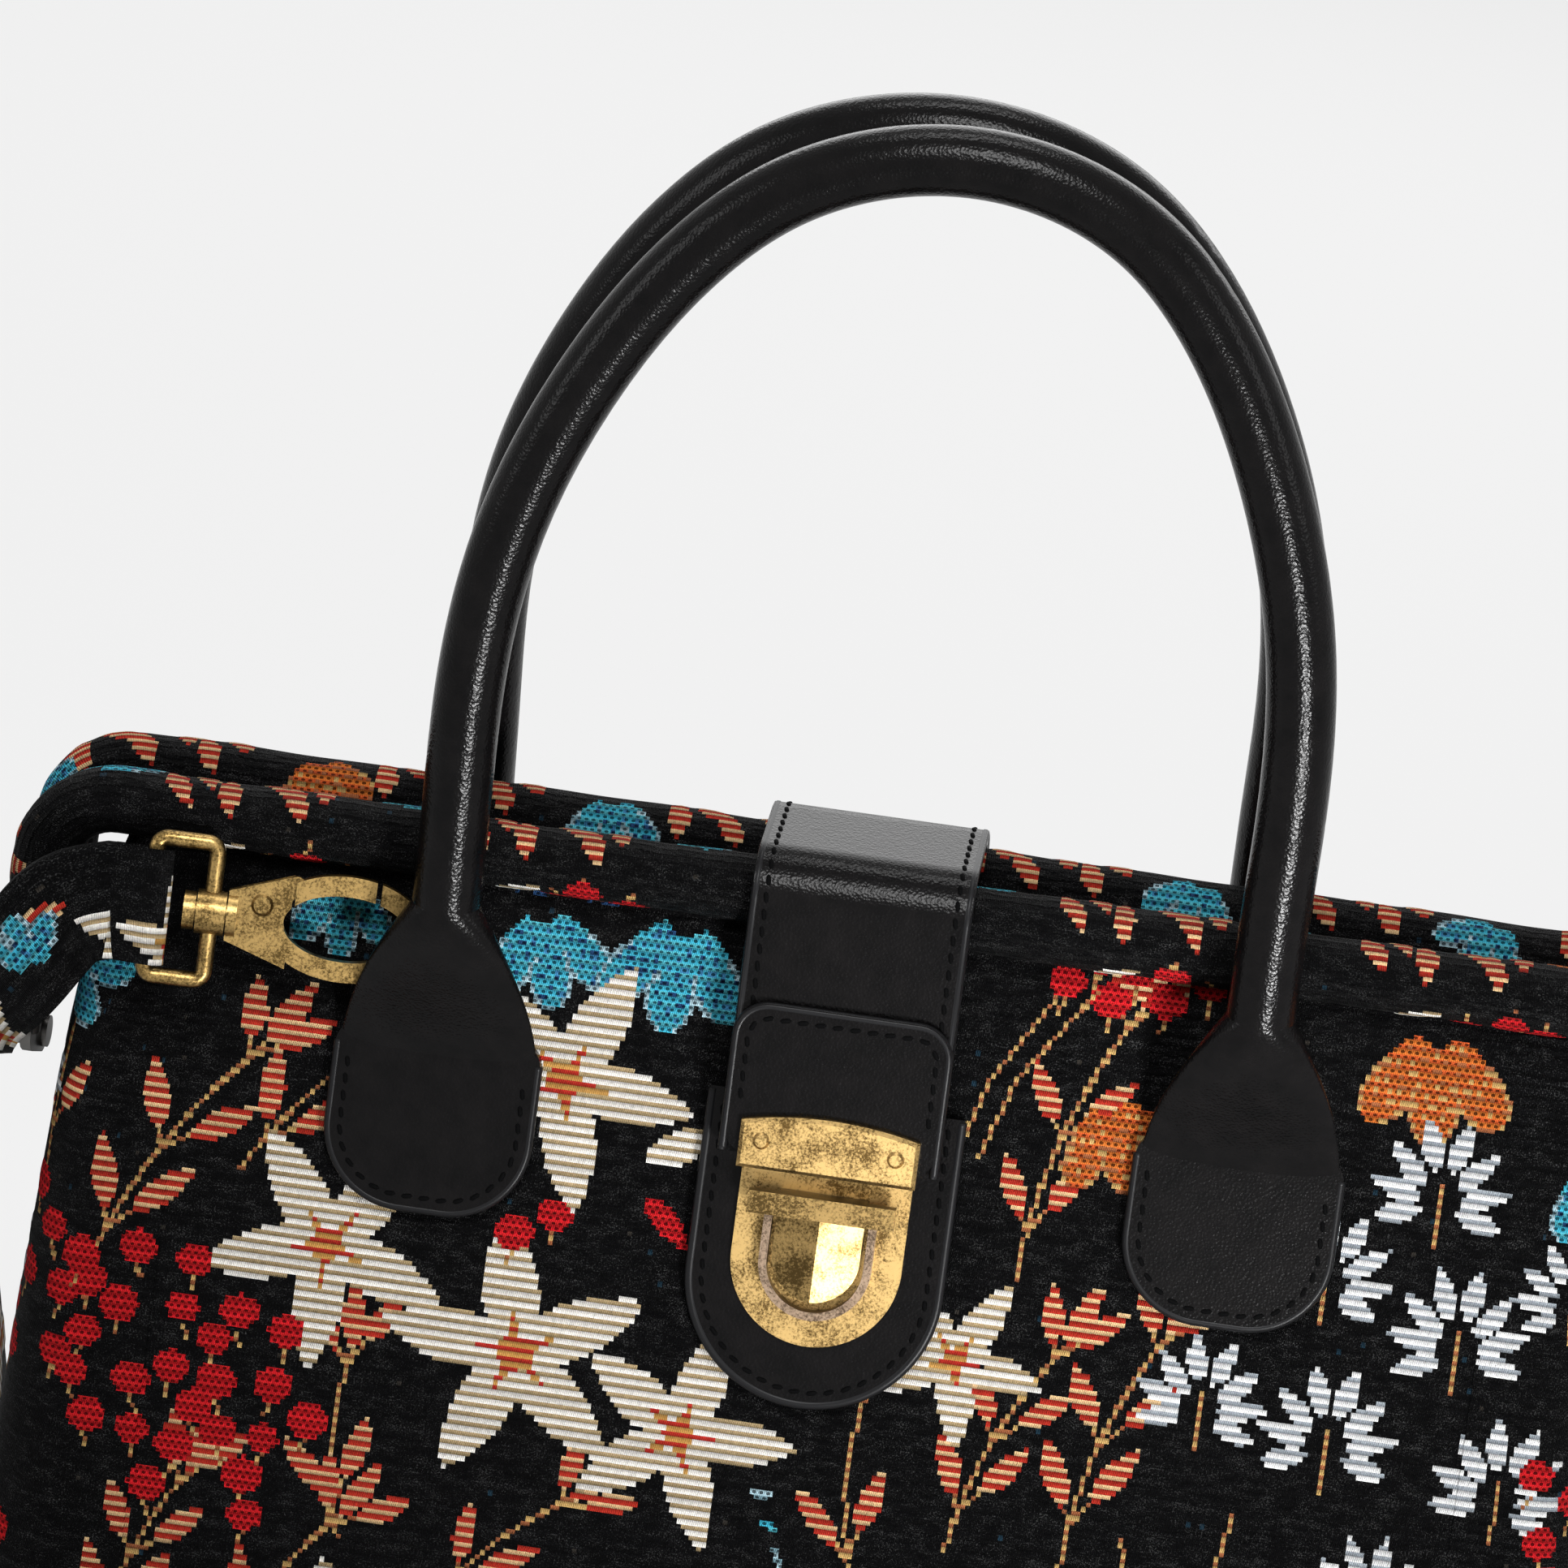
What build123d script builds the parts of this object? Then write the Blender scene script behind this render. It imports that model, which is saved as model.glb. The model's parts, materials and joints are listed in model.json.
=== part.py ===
"""A cloth carpet bag with a hinged mouth frame, rolled leather handles, a closure strap with a thumb
lock and a clip-on shoulder strap. Millimetres, +Z up, front towards -Y, origin at the centre of the base."""

import os
from math import acos, atan2, cos, degrees, hypot, pi, radians, sin

from build123d import *

os.makedirs("parts", exist_ok=True)

# Cloth body
base_length = 352.0
base_depth = 156.0
base_corner = 26.0
base_edge_round = 11.0
panel_top = 222.0
top_length = 322.0
top_depth = 20.0
top_corner = 8.0
wall = 3.5
gusset_seam_inset = 24.0
bottom_seam_height = 15.0
board_thickness = 2.5
board_gap = 4.5

# Mouth bindings, frame rods and their end hinges
binding_radius = 7.5
mouth_gap = 5.0
seat_gap = 0.3
binding_side_gap = 1.2
binding_corner = 15.0
binding_leg = 46.0
rod_radius = 3.0
rod_clearance = 0.2
rod_reach = 9.0
lug_thickness = 2.0
lug_radius = 4.5
rivet_radius = 1.8
rivet_clearance = 0.05
rivet_head_radius = 3.4
rivet_head = 1.0

# Rolled handles, each with two sewn tabs
handle_span = 167.0
handle_radius = 7.0
handle_leg = 44.0
arch_height = 123.4
arch_crown_radius = 63.0
front_handle_sway = 6.0
front_handle_lean = 2.7
neck_drop = 2.0
neck_stand_off = 21.0
neck_mid_drop = 13.0
neck_mid_stand_off = 17.2
neck_mid_width = 27.0
neck_mid_thickness = 10.4
neck_low_drop = 24.0
neck_low_stand_off = 9.6
neck_low_width = 36.4
neck_low_thickness = 6.4
neck_end_drop = 36.0
neck_end_width = 41.2
back_handle_shift = 3.0
back_handle_sway = -3.5
back_handle_lean = 9.1
tab_width = 43.0
tab_thickness = 3.2
tab_drop = 69.0
tab_corner = 17.0
tab_top_corner = 5.0
flare_overlap = 5.0

# Closure strap and its overlay
strap_width = 45.0
strap_thickness = 3.0
strap_gap = 0.4
strap_tip_drop = 46.0
strap_tip_stand_off = 7.6
strap_back_drop = 66.0
overlay_thickness = 2.2
overlay_length = 32.0
overlay_corner = 7.0

# Lock on its leather tab
lock_tab_width = 53.0
lock_tab_top_drop = 34.0
lock_tab_drop = 98.0
lock_tab_thickness = 3.0
lock_plate_width = 35.5
lock_plate_top_drop = 47.0
lock_plate_drop = 85.0
lock_plate_thickness = 1.4
rim_width = 23.4
rim_wall = 1.7
rim_height = 3.6
rim_top_drop = 58.0
thumb_travel = 2.0
thumb_side_gap = 0.9
thumb_back_gap = 0.3
thumb_edge_height = 3.2
thumb_ridge_height = 5.4
ledge_width = 30.5
ledge_height = 4.6
ledge_depth = 4.2
ledge_clearance = 0.4
hasp_width = 37.0
hasp_height = 12.0
hasp_crown = 2.2
hasp_thickness = 2.4
hasp_edge = 0.8
hasp_rivet_radius = 1.1
hasp_rivet_inset = 4.6
hasp_rivet_dome = 0.7
hasp_hang = 2.0
back_plate_thickness = 1.0
back_plate_margin = 4.0

# Snap hooks, swivel rings and the rings that hold them
hook_drop = 12.0
hook_stand_off = 11.4
hook_tilt = 8.0
hook_collar_x = 129.5
hook_thickness = 3.8
hook_body_length = 13.0
hook_body_end = 5.2
hook_body_shoulder = 9.6
jaw_centre = 24.5
jaw_length = 34.0
jaw_height = 22.0
jaw_section = 4.2
gate_start = 13.6
gate_end = 30.0
gate_gap = 1.1
gate_slot = 2.2
gate_slot_floor = 1.5
gate_root = 1.8
gate_pin_x = 7.0
gate_pin_rise = 3.0
gate_pin_radius = 1.5
gate_pin_clearance = 0.05
gate_pin_dome = 0.8
gate_eye_radius = 3.6
post_radius = 2.5
post_clearance = 0.15
collar_radius = 4.6
collar_length = 6.0
post_cap_radius = 4.0
post_cap_length = 2.4
swivel_end_play = 0.3
swivel_wire = 3.4
swivel_height = 32.0
swivel_reach = 12.5
swivel_corner = 2.2
anchor_ring_wire = 2.4
anchor_ring_length = 20.0
anchor_ring_depth = 9.2
anchor_ring_corner = 3.0
anchor_ring_inset = 34.5
anchor_ring_lift = 1.4
chape_width = 6.0
chape_inset = 2.0
chape_thickness = 1.2
chape_clearance = 0.1
chape_length = 11.0

# Shoulder strap
carry_width = 24.0
carry_thickness = 4.4
carry_loop_wrap = 2.4
carry_loop_clearance = 0.15
carry_tail = 8.5
carry_joint_gap = 0.3
carry_side_gap = 4.5
carry_bend_radius = 14.0
carry_end_overlap = 6.0
carry_end_run = 44.0
carry_floor_y = 92.0
carry_floor_run_y = 118.0
carry_floor_turn_x = 150.0
carry_fall_height = 60.0
carry_slack_y = 30.0
carry_slack_low_y = 14.0
carry_slack_low_z = 95.0

sew_gap = 0.05
cut_overrun = 2.0

# Places worked out from the sizes above
lean = atan2((base_depth - top_depth) / 2, panel_top)
wall_across = wall / cos(lean)
binding_y = mouth_gap / 2 + binding_radius
binding_z = panel_top + seat_gap + binding_radius
side_taper = (base_length - top_length) / 2 / panel_top


def half_length(z):
    """Half the body's length at height z."""
    return base_length / 2 - side_taper * z


def half_depth(z):
    """Half the body's depth at height z."""
    return (base_depth + (top_depth - base_depth) * z / panel_top) / 2


def on_front(x, drop, stand_off):
    """A point over the front panel: drop is measured down the panel from its top edge."""
    return Vector(
        x,
        -top_depth / 2 - drop * sin(lean) - stand_off * cos(lean),
        panel_top - drop * cos(lean) + stand_off * sin(lean),
    )


def front_plane(x=0.0, drop=0.0, stand_off=0.0):
    """A plane over the front panel, its x along +X, its y up the panel and its z outwards."""
    return Plane(on_front(x, drop, stand_off), x_dir=(1, 0, 0), z_dir=(0, -cos(lean), sin(lean)))


def cross_plane(x, drop, stand_off):
    """A plane square to the panel's rise, its x along +X and its z up the panel."""
    return Plane(on_front(x, drop, stand_off), x_dir=(1, 0, 0), z_dir=(0, sin(lean), cos(lean)))


def keep(shape, name):
    """Labels a finished piece and writes it to its own file."""
    shape.label = name
    export_step(shape, f"parts/{name}.step")


def turned(shape):
    """The same piece on the other side of the bag, half a turn about +Z."""
    return shape.rotate(Axis.Z, 180)


# Cloth body: one sewn form, cut at its seams into panels
with BuildPart() as body_form:
    with BuildSketch():
        RectangleRounded(base_length, base_depth, base_corner)
    with BuildSketch(Plane.XY.offset(panel_top)):
        RectangleRounded(top_length, top_depth, top_corner)
    loft()
    fillet(body_form.faces().sort_by(Axis.Z)[0].edges(), base_edge_round)

inner_top = panel_top + cut_overrun
with BuildPart() as body_hollow:
    with BuildSketch(Plane.XY.offset(wall)):
        RectangleRounded(
            2 * (half_length(wall) - wall), 2 * (half_depth(wall) - wall_across), base_corner - wall
        )
    with BuildSketch(Plane.XY.offset(inner_top)):
        RectangleRounded(
            2 * (half_length(inner_top) - wall), 2 * (half_depth(inner_top) - wall_across), top_corner - wall
        )
    loft()
    fillet(body_hollow.faces().sort_by(Axis.Z)[0].edges(), base_edge_round - wall)

with BuildPart() as shell:
    add(body_form.part)
    add(body_hollow.part, mode=Mode.SUBTRACT)

seam_x = top_length / 2 - gusset_seam_inset


def panel(*planes):
    """The part of the shell that lies on the outer side of every given plane."""
    with BuildPart() as piece:
        add(shell.part)
        for plane in planes:
            split(bisect_by=plane, keep=Keep.TOP)
    return piece.part


above_bottom = Plane((0, 0, bottom_seam_height), z_dir=(0, 0, 1))
left_of_seam = Plane((-seam_x, 0, 0), z_dir=(-1, 0, 0))
right_of_seam = Plane((seam_x, 0, 0), z_dir=(1, 0, 0))
between_seams = (Plane((-seam_x, 0, 0), z_dir=(1, 0, 0)), Plane((seam_x, 0, 0), z_dir=(-1, 0, 0)))
keep(panel(above_bottom, *between_seams, Plane.XZ), "front_panel")
keep(panel(above_bottom, *between_seams, -Plane.XZ), "back_panel")
keep(panel(above_bottom, left_of_seam), "left_gusset")
keep(panel(above_bottom, right_of_seam), "right_gusset")
keep(panel(-above_bottom), "bottom_panel")

with BuildPart() as base_board:
    with BuildSketch(Plane.XY.offset(wall)):
        RectangleRounded(
            2 * (half_length(wall) - base_edge_round - board_gap),
            2 * (half_depth(wall) - base_edge_round - board_gap),
            base_corner - base_edge_round,
        )
    extrude(amount=board_thickness)
keep(base_board.part, "base_board")

# Mouth bindings and the steel rods in them
binding_low = binding_z - binding_leg


def leg_x(z):
    """Where a binding's leg runs down outside the gusset."""
    return half_length(min(z, panel_top)) + binding_side_gap + binding_radius


def mouth_points(low):
    """The corners of a mouth half's path, from one leg's foot at height low to the other's."""
    corner_x = leg_x(binding_z)
    foot_x = leg_x(low)
    return [
        (-foot_x, -binding_y, low),
        (-corner_x, -binding_y, binding_z),
        (corner_x, -binding_y, binding_z),
        (foot_x, -binding_y, low),
    ]


with BuildPart() as binding:
    with BuildLine() as binding_path:
        FilletPolyline(*mouth_points(binding_low), radius=binding_corner)
    with BuildSketch(binding_path.line ^ 0):
        Circle(binding_radius)
        Circle(rod_radius + rod_clearance, mode=Mode.SUBTRACT)
    sweep()
keep(binding.part, "front_binding")
keep(turned(binding.part), "back_binding")

rod_low = binding_low - rod_reach
rivet_z = rod_low - lug_radius
hinge_x = leg_x(rod_low)
with BuildPart() as rod:
    with BuildLine() as rod_path:
        FilletPolyline(*mouth_points(rod_low), radius=binding_corner)
    with BuildSketch(rod_path.line ^ 0):
        Circle(rod_radius)
    sweep()


def frame_half(y_sign, lug_start):
    """A mouth rod with its two flat hinge lugs, each lug starting at lug_start from the hinge's middle."""
    with BuildPart() as half:
        add(rod.part if y_sign < 0 else turned(rod.part))
        for side in (-1, 1):
            inner = hinge_x + lug_start
            with BuildSketch(Plane.YZ.offset(side * inner)):
                with Locations((y_sign * binding_y, rod_low)):
                    Circle(lug_radius)
                with Locations((0, rivet_z)):
                    Circle(lug_radius)
                make_hull()
                with Locations((0, rivet_z)):
                    Circle(rivet_radius + rivet_clearance, mode=Mode.SUBTRACT)
            extrude(amount=side * lug_thickness)
    return half.part


keep(frame_half(-1, -lug_thickness), "front_frame")
keep(frame_half(1, seat_gap), "back_frame")

rivet_length = 2 * lug_thickness + seat_gap + 2 * rivet_clearance
with BuildPart() as hinge_rivets:
    for side in (-1, 1):
        start = hinge_x - lug_thickness - rivet_clearance
        with BuildSketch(Plane.YZ.offset(side * start)):
            with Locations((0, rivet_z)):
                Circle(rivet_radius)
        extrude(amount=side * rivet_length)
        with BuildSketch(Plane.YZ.offset(side * start)):
            with Locations((0, rivet_z)):
                Circle(rivet_head_radius)
        extrude(amount=-side * rivet_head)
        with BuildSketch(Plane.YZ.offset(side * (start + rivet_length))):
            with Locations((0, rivet_z)):
                Circle(rivet_head_radius)
        extrude(amount=side * rivet_head)
keep(hinge_rivets.part, "hinge_rivets")

# Rolled handle: an arch of three tangent arcs on two straight legs, flattened into a sewn tab at each end
half_span = handle_span / 2
neck_point = on_front(0, neck_drop, neck_stand_off)
arch_side_radius = (half_span**2 + (arch_height - arch_crown_radius) ** 2 - arch_crown_radius**2) / (
    2 * (half_span - arch_crown_radius)
)
crown_rise = arch_height - arch_crown_radius
side_reach = arch_side_radius - half_span
meet_share = arch_side_radius / hypot(side_reach, crown_rise)
meet_x = meet_share * side_reach - side_reach
meet_y = handle_leg + meet_share * crown_rise
side_angle = atan2(crown_rise, side_reach) / 2
crown_y = handle_leg + arch_height


def handle_point(plane, x, y, sway):
    """A point of the handle's centreline in its plane, leaning sideways by sway at the crown."""
    return plane.from_local_coords(Vector(x + sway * (y / crown_y) ** 2, y, 0))


def rolled_handle(shift, sway, lean):
    """A rolled handle with its two tabs on the front of the bag, leaning in by an angle over the mouth."""
    tilt = radians(lean)
    plane = Plane(
        neck_point + Vector(shift, 0, 0), x_dir=(1, 0, 0), z_dir=(0, -cos(tilt), sin(tilt))
    )
    places = []
    for step in (0, handle_leg / 2):
        places.append((half_span, step))
    for share in (0, 1 / 3, 2 / 3, 1):
        angle = share * 2 * side_angle
        places.append(
            (arch_side_radius * cos(angle) - side_reach, handle_leg + arch_side_radius * sin(angle))
        )
    crown_start = atan2(meet_y - handle_leg - crown_rise, meet_x)
    for share in (1 / 3, 2 / 3):
        angle = crown_start + share * (pi / 2 - crown_start)
        places.append(
            (arch_crown_radius * cos(angle), handle_leg + crown_rise + arch_crown_radius * sin(angle))
        )
    places = [(-x, y) for x, y in places] + [(0, crown_y)] + places[::-1]
    with BuildPart() as handle:
        with BuildLine() as handle_path:
            Spline(
                *[handle_point(plane, x, y, sway) for x, y in places],
                tangents=(plane.y_dir, -plane.y_dir),
            )
        with BuildSketch(handle_path.wire() ^ 0):
            Circle(handle_radius)
        sweep(path=handle_path.wire())
        for side in (-1, 1):
            tab_x = side * half_span + shift
            with BuildSketch(cross_plane(tab_x, neck_end_drop, tab_thickness / 2)):
                Ellipse(neck_end_width / 2, tab_thickness / 2)
            with BuildSketch(cross_plane(tab_x, neck_low_drop, neck_low_stand_off)):
                Ellipse(neck_low_width / 2, neck_low_thickness / 2)
            with BuildSketch(cross_plane(tab_x, neck_mid_drop, neck_mid_stand_off)):
                Ellipse(neck_mid_width / 2, neck_mid_thickness / 2)
            with BuildSketch(
                Plane(neck_point + Vector(tab_x, 0, 0), x_dir=(1, 0, 0), z_dir=plane.y_dir)
            ):
                Circle(handle_radius)
            loft()
            tab_low = -tab_drop
            tab_high = flare_overlap - neck_end_drop
            with BuildSketch(front_plane(tab_x)) as tab_outline:
                with Locations((0, (tab_low + tab_high) / 2)):
                    Rectangle(tab_width, tab_high - tab_low)
                fillet(tab_outline.vertices().group_by(Axis.Y)[0], tab_corner)
                fillet(tab_outline.vertices().group_by(Axis.Y)[-1], tab_top_corner)
            extrude(amount=tab_thickness)
    return handle.part


keep(rolled_handle(0, front_handle_sway, front_handle_lean), "front_handle")
keep(turned(rolled_handle(back_handle_shift, back_handle_sway, back_handle_lean)), "back_handle")

# Closure strap: a fixed back part sewn to the back panel and a front part that folds over
strap_radius = binding_radius + strap_gap + strap_thickness / 2
pivot_y = binding_y + strap_radius
strap_tip = on_front(0, strap_tip_drop, strap_tip_stand_off)
reach_y = strap_tip.Y + binding_y
reach_z = strap_tip.Z - binding_z
leave_angle = degrees(atan2(reach_z, reach_y)) % 360 - degrees(acos(strap_radius / hypot(reach_y, reach_z)))
leave_y = -binding_y + strap_radius * cos(radians(leave_angle))
leave_z = binding_z + strap_radius * sin(radians(leave_angle))

with BuildPart() as closure_strap:
    with BuildSketch(Plane.YZ):
        with BuildLine():
            CenterArc((binding_y, binding_z), strap_radius, 0, 90)
            Line((binding_y, binding_z + strap_radius), (-binding_y, binding_z + strap_radius))
            CenterArc((-binding_y, binding_z), strap_radius, 90, leave_angle - 90)
            Line((leave_y, leave_z), (strap_tip.Y, strap_tip.Z))
        trace(line_width=strap_thickness)
        with Locations((pivot_y, binding_z)):
            Circle(strap_thickness / 2)
    extrude(amount=strap_width / 2, both=True)
keep(closure_strap.part, "closure_strap")

anchor_bend_drop = (pivot_y - top_depth / 2 - strap_thickness / 2 * cos(lean)) / sin(lean)
anchor_bend = on_front(0, anchor_bend_drop, strap_thickness / 2 + sew_gap)
anchor_end = on_front(0, strap_back_drop, strap_thickness / 2 + sew_gap)
with BuildPart() as strap_anchor:
    with BuildSketch(Plane.YZ):
        with BuildLine():
            FilletPolyline(
                (pivot_y, binding_z - strap_thickness / 2 - seat_gap),
                (-anchor_bend.Y, anchor_bend.Z),
                (-anchor_end.Y, anchor_end.Z),
                radius=strap_radius,
            )
        trace(line_width=strap_thickness)
    extrude(amount=strap_width / 2, both=True)
keep(strap_anchor.part, "strap_anchor")

strap_up = Vector(0, leave_y - strap_tip.Y, leave_z - strap_tip.Z).normalized()
strap_out = Vector(1, 0, 0).cross(strap_up)
strap_face = Plane(strap_tip + strap_out * (strap_thickness / 2 + sew_gap), x_dir=(1, 0, 0), z_dir=strap_out)
with BuildPart() as overlay:
    with BuildSketch(strap_face) as overlay_outline:
        with Locations((0, overlay_length / 2)):
            Rectangle(strap_width, overlay_length)
        fillet(overlay_outline.vertices(), overlay_corner)
    extrude(amount=overlay_thickness)
keep(overlay.part, "strap_overlay")

hasp_face = strap_face.offset(overlay_thickness + sew_gap)
hasp_side = hasp_height - hasp_crown
with BuildPart() as hasp:
    with BuildSketch(hasp_face) as hasp_outline:
        with BuildLine():
            Polyline(
                (-hasp_width / 2, hasp_side - hasp_hang),
                (-hasp_width / 2, -hasp_hang),
                (hasp_width / 2, -hasp_hang),
                (hasp_width / 2, hasp_side - hasp_hang),
            )
            ThreePointArc(
                (hasp_width / 2, hasp_side - hasp_hang),
                (0, hasp_height - hasp_hang),
                (-hasp_width / 2, hasp_side - hasp_hang),
            )
        make_face()
    extrude(amount=hasp_thickness)
    chamfer(hasp.faces().sort_by(Axis(origin=(0, 0, 0), direction=strap_out))[-1].edges(), hasp_edge)
    rivet_spots = [
        (side * (hasp_width / 2 - hasp_rivet_inset), hasp_height / 2 - hasp_hang) for side in (-1, 1)
    ]
    with BuildSketch(hasp_face):
        with Locations(*rivet_spots):
            Circle(hasp_rivet_radius + rivet_clearance)
    extrude(amount=hasp_thickness, mode=Mode.SUBTRACT)
keep(hasp.part, "hasp_plate")

with BuildPart() as hasp_rivets:
    with BuildSketch(hasp_face):
        with Locations(*rivet_spots):
            Circle(hasp_rivet_radius)
    extrude(amount=hasp_thickness)
    with BuildSketch(hasp_face.offset(hasp_thickness)):
        with Locations(*rivet_spots):
            Circle(hasp_rivet_radius + hasp_rivet_dome)
    extrude(amount=hasp_rivet_dome, taper=40)
keep(hasp_rivets.part, "hasp_rivets")


# Lock on its leather tab
def u_outline(plane, width, top_drop, low_drop):
    """A flat outline with straight sides and a half-round foot, on a plane over the front panel."""
    with BuildSketch(plane, mode=Mode.PRIVATE) as outline:
        straight = low_drop - width / 2
        with Locations((0, -(top_drop + straight) / 2)):
            Rectangle(width, straight - top_drop)
        with Locations((0, -straight)):
            Circle(width / 2)
        with Locations((0, width / 2 - top_drop)):
            Rectangle(width, width, mode=Mode.SUBTRACT)
    return outline.sketch


def u_block(width, top_drop, low_drop, start, height):
    """A plate of that outline, from start to start + height off the panel."""
    outline = u_outline(front_plane(0, 0, start), width, top_drop, low_drop)
    return extrude(outline, amount=height, mode=Mode.PRIVATE)


keep(u_block(lock_tab_width, lock_tab_top_drop, lock_tab_drop, sew_gap, lock_tab_thickness), "lock_tab")

plate_start = lock_tab_thickness + 2 * sew_gap
plate_face = plate_start + lock_plate_thickness
keep(
    u_block(lock_plate_width, lock_plate_top_drop, lock_plate_drop, plate_start, lock_plate_thickness),
    "lock_plate",
)

rim_drop = lock_plate_drop - (lock_plate_width - rim_width) / 2
rim_start = plate_face + sew_gap
rim_inside = rim_width - 2 * rim_wall
with BuildPart() as rim:
    add(u_block(rim_width, rim_top_drop, rim_drop, rim_start, rim_height))
    add(
        u_block(
            rim_inside, rim_top_drop - cut_overrun, rim_drop - rim_wall, rim_start - cut_overrun,
            rim_height + 2 * cut_overrun,
        ),
        mode=Mode.SUBTRACT,
    )
keep(rim.part, "lock_rim")

thumb_start = plate_face + thumb_back_gap
thumb_width = rim_inside - 2 * thumb_side_gap
thumb_drop = rim_drop - rim_wall - thumb_travel - ledge_clearance
ledge_start = rim_start + rim_height + ledge_clearance
ledge_low_drop = rim_top_drop - ledge_clearance
ledge_top_drop = ledge_low_drop - ledge_height
with BuildPart() as thumb:
    add(u_block(thumb_width, ledge_top_drop, thumb_drop, thumb_start, thumb_ridge_height))
    with BuildSketch(cross_plane(0, thumb_drop + cut_overrun, thumb_start)):
        with BuildLine():
            Polyline(
                (-thumb_width / 2 - cut_overrun, 0),
                (-thumb_width / 2 - cut_overrun, -thumb_edge_height),
                (-thumb_width / 2, -thumb_edge_height),
                (0, -thumb_ridge_height),
                (thumb_width / 2, -thumb_edge_height),
                (thumb_width / 2 + cut_overrun, -thumb_edge_height),
                (thumb_width / 2 + cut_overrun, 0),
                close=True,
            )
        make_face()
    extrude(amount=thumb_drop + 2 * cut_overrun, mode=Mode.INTERSECT)
    with BuildSketch(front_plane(0, (ledge_top_drop + ledge_low_drop) / 2, thumb_start)):
        Rectangle(thumb_width, ledge_height)
    extrude(amount=ledge_start + ledge_depth / 2 - thumb_start)
    with BuildSketch(front_plane(0, (ledge_top_drop + ledge_low_drop) / 2, ledge_start)):
        Rectangle(ledge_width, ledge_height)
    extrude(amount=ledge_depth)
keep(thumb.part, "lock_thumb")

back_plate_start = -wall - sew_gap - back_plate_thickness
keep(
    u_block(
        lock_plate_width + back_plate_margin, lock_plate_top_drop, lock_plate_drop + back_plate_margin / 2,
        back_plate_start, back_plate_thickness,
    ),
    "lock_back_plate",
)

# Snap hook, drawn on its own plane: x runs from the collar towards the jaw, z away from the cloth
tilt = radians(hook_tilt)
hook_plane = Plane(
    on_front(-hook_collar_x, hook_drop, hook_stand_off),
    x_dir=(cos(tilt), cos(lean) * sin(tilt), -sin(lean) * sin(tilt)),
    z_dir=(sin(tilt), -cos(lean) * cos(tilt), sin(lean) * cos(tilt)),
)


def hook_slab(outline, thickness):
    """An outline on the hook's plane made into a slab centred on that plane."""
    return extrude(outline, amount=thickness / 2, both=True, mode=Mode.PRIVATE)


with BuildSketch(hook_plane) as hook_outline:
    with BuildLine():
        Polyline(
            (0, -hook_body_end),
            (hook_body_length, -hook_body_shoulder),
            (hook_body_length, hook_body_shoulder),
            (0, hook_body_end),
            close=True,
        )
    make_face()
    with Locations((jaw_centre, 0)):
        Ellipse(jaw_length / 2, jaw_height / 2)
        Ellipse(jaw_length / 2 - jaw_section, jaw_height / 2 - jaw_section, mode=Mode.SUBTRACT)


def gate_window(start, end):
    """The part of the hook's plane where the gate's arm lies."""
    with BuildSketch(hook_plane, mode=Mode.PRIVATE) as window:
        with Locations(((start + end) / 2, jaw_height / 2)):
            Rectangle(end - start, jaw_height)
    return window.sketch


def along_hook(start):
    """A plane square to the hook's long axis, at start along it."""
    return Plane(hook_plane.from_local_coords(Vector(start, 0, 0)), z_dir=hook_plane.x_dir)


with BuildPart() as hook:
    add(hook_slab(hook_outline.sketch, hook_thickness))
    add(
        hook_slab(gate_window(hook_body_length, gate_end + gate_gap), hook_thickness + cut_overrun),
        mode=Mode.SUBTRACT,
    )
    with BuildSketch(hook_plane, mode=Mode.PRIVATE) as slot:
        slot_length = gate_start + cut_overrun - gate_pin_x + gate_eye_radius + gate_gap
        slot_start = gate_pin_x - gate_eye_radius - gate_gap
        with Locations((slot_start + slot_length / 2, jaw_height / 2 - gate_slot_floor)):
            Rectangle(slot_length, jaw_height)
    add(hook_slab(slot.sketch, gate_slot), mode=Mode.SUBTRACT)
    with BuildSketch(hook_plane, mode=Mode.PRIVATE) as pin_hole:
        with Locations((gate_pin_x, gate_pin_rise)):
            Circle(gate_pin_radius + gate_pin_clearance)
    add(hook_slab(pin_hole.sketch, hook_thickness + cut_overrun), mode=Mode.SUBTRACT)
    post_length = collar_length + 2 * swivel_end_play
    with BuildSketch(along_hook(cut_overrun)):
        Circle(post_radius)
    extrude(amount=-post_length - cut_overrun)
    with BuildSketch(along_hook(0)):
        Circle(collar_radius)
    extrude(amount=cut_overrun)
    with BuildSketch(along_hook(-post_length)):
        Circle(post_cap_radius)
    extrude(amount=-post_cap_length)

with BuildPart() as gate:
    arm = hook_outline.sketch & gate_window(gate_start, gate_end)
    add(hook_slab(arm, hook_thickness))
    with BuildSketch(hook_plane, mode=Mode.PRIVATE) as root:
        with Locations((gate_pin_x, gate_pin_rise)):
            Circle(gate_eye_radius)
        with Locations((gate_start, hook_body_shoulder - gate_eye_radius / 2)):
            Circle(gate_eye_radius / 2)
        make_hull()
        with Locations((gate_pin_x, gate_pin_rise)):
            Circle(gate_pin_radius + gate_pin_clearance, mode=Mode.SUBTRACT)
    add(hook_slab(root.sketch, gate_root))

with BuildPart() as gate_pin:
    with BuildSketch(hook_plane, mode=Mode.PRIVATE) as pin_section:
        with Locations((gate_pin_x, gate_pin_rise)):
            Circle(gate_pin_radius)
    add(hook_slab(pin_section.sketch, hook_thickness))
    with BuildSketch(hook_plane.offset(hook_thickness / 2)):
        with Locations((gate_pin_x, gate_pin_rise)):
            Circle(gate_pin_radius + gate_pin_dome)
    extrude(amount=gate_pin_dome, taper=35)

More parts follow.
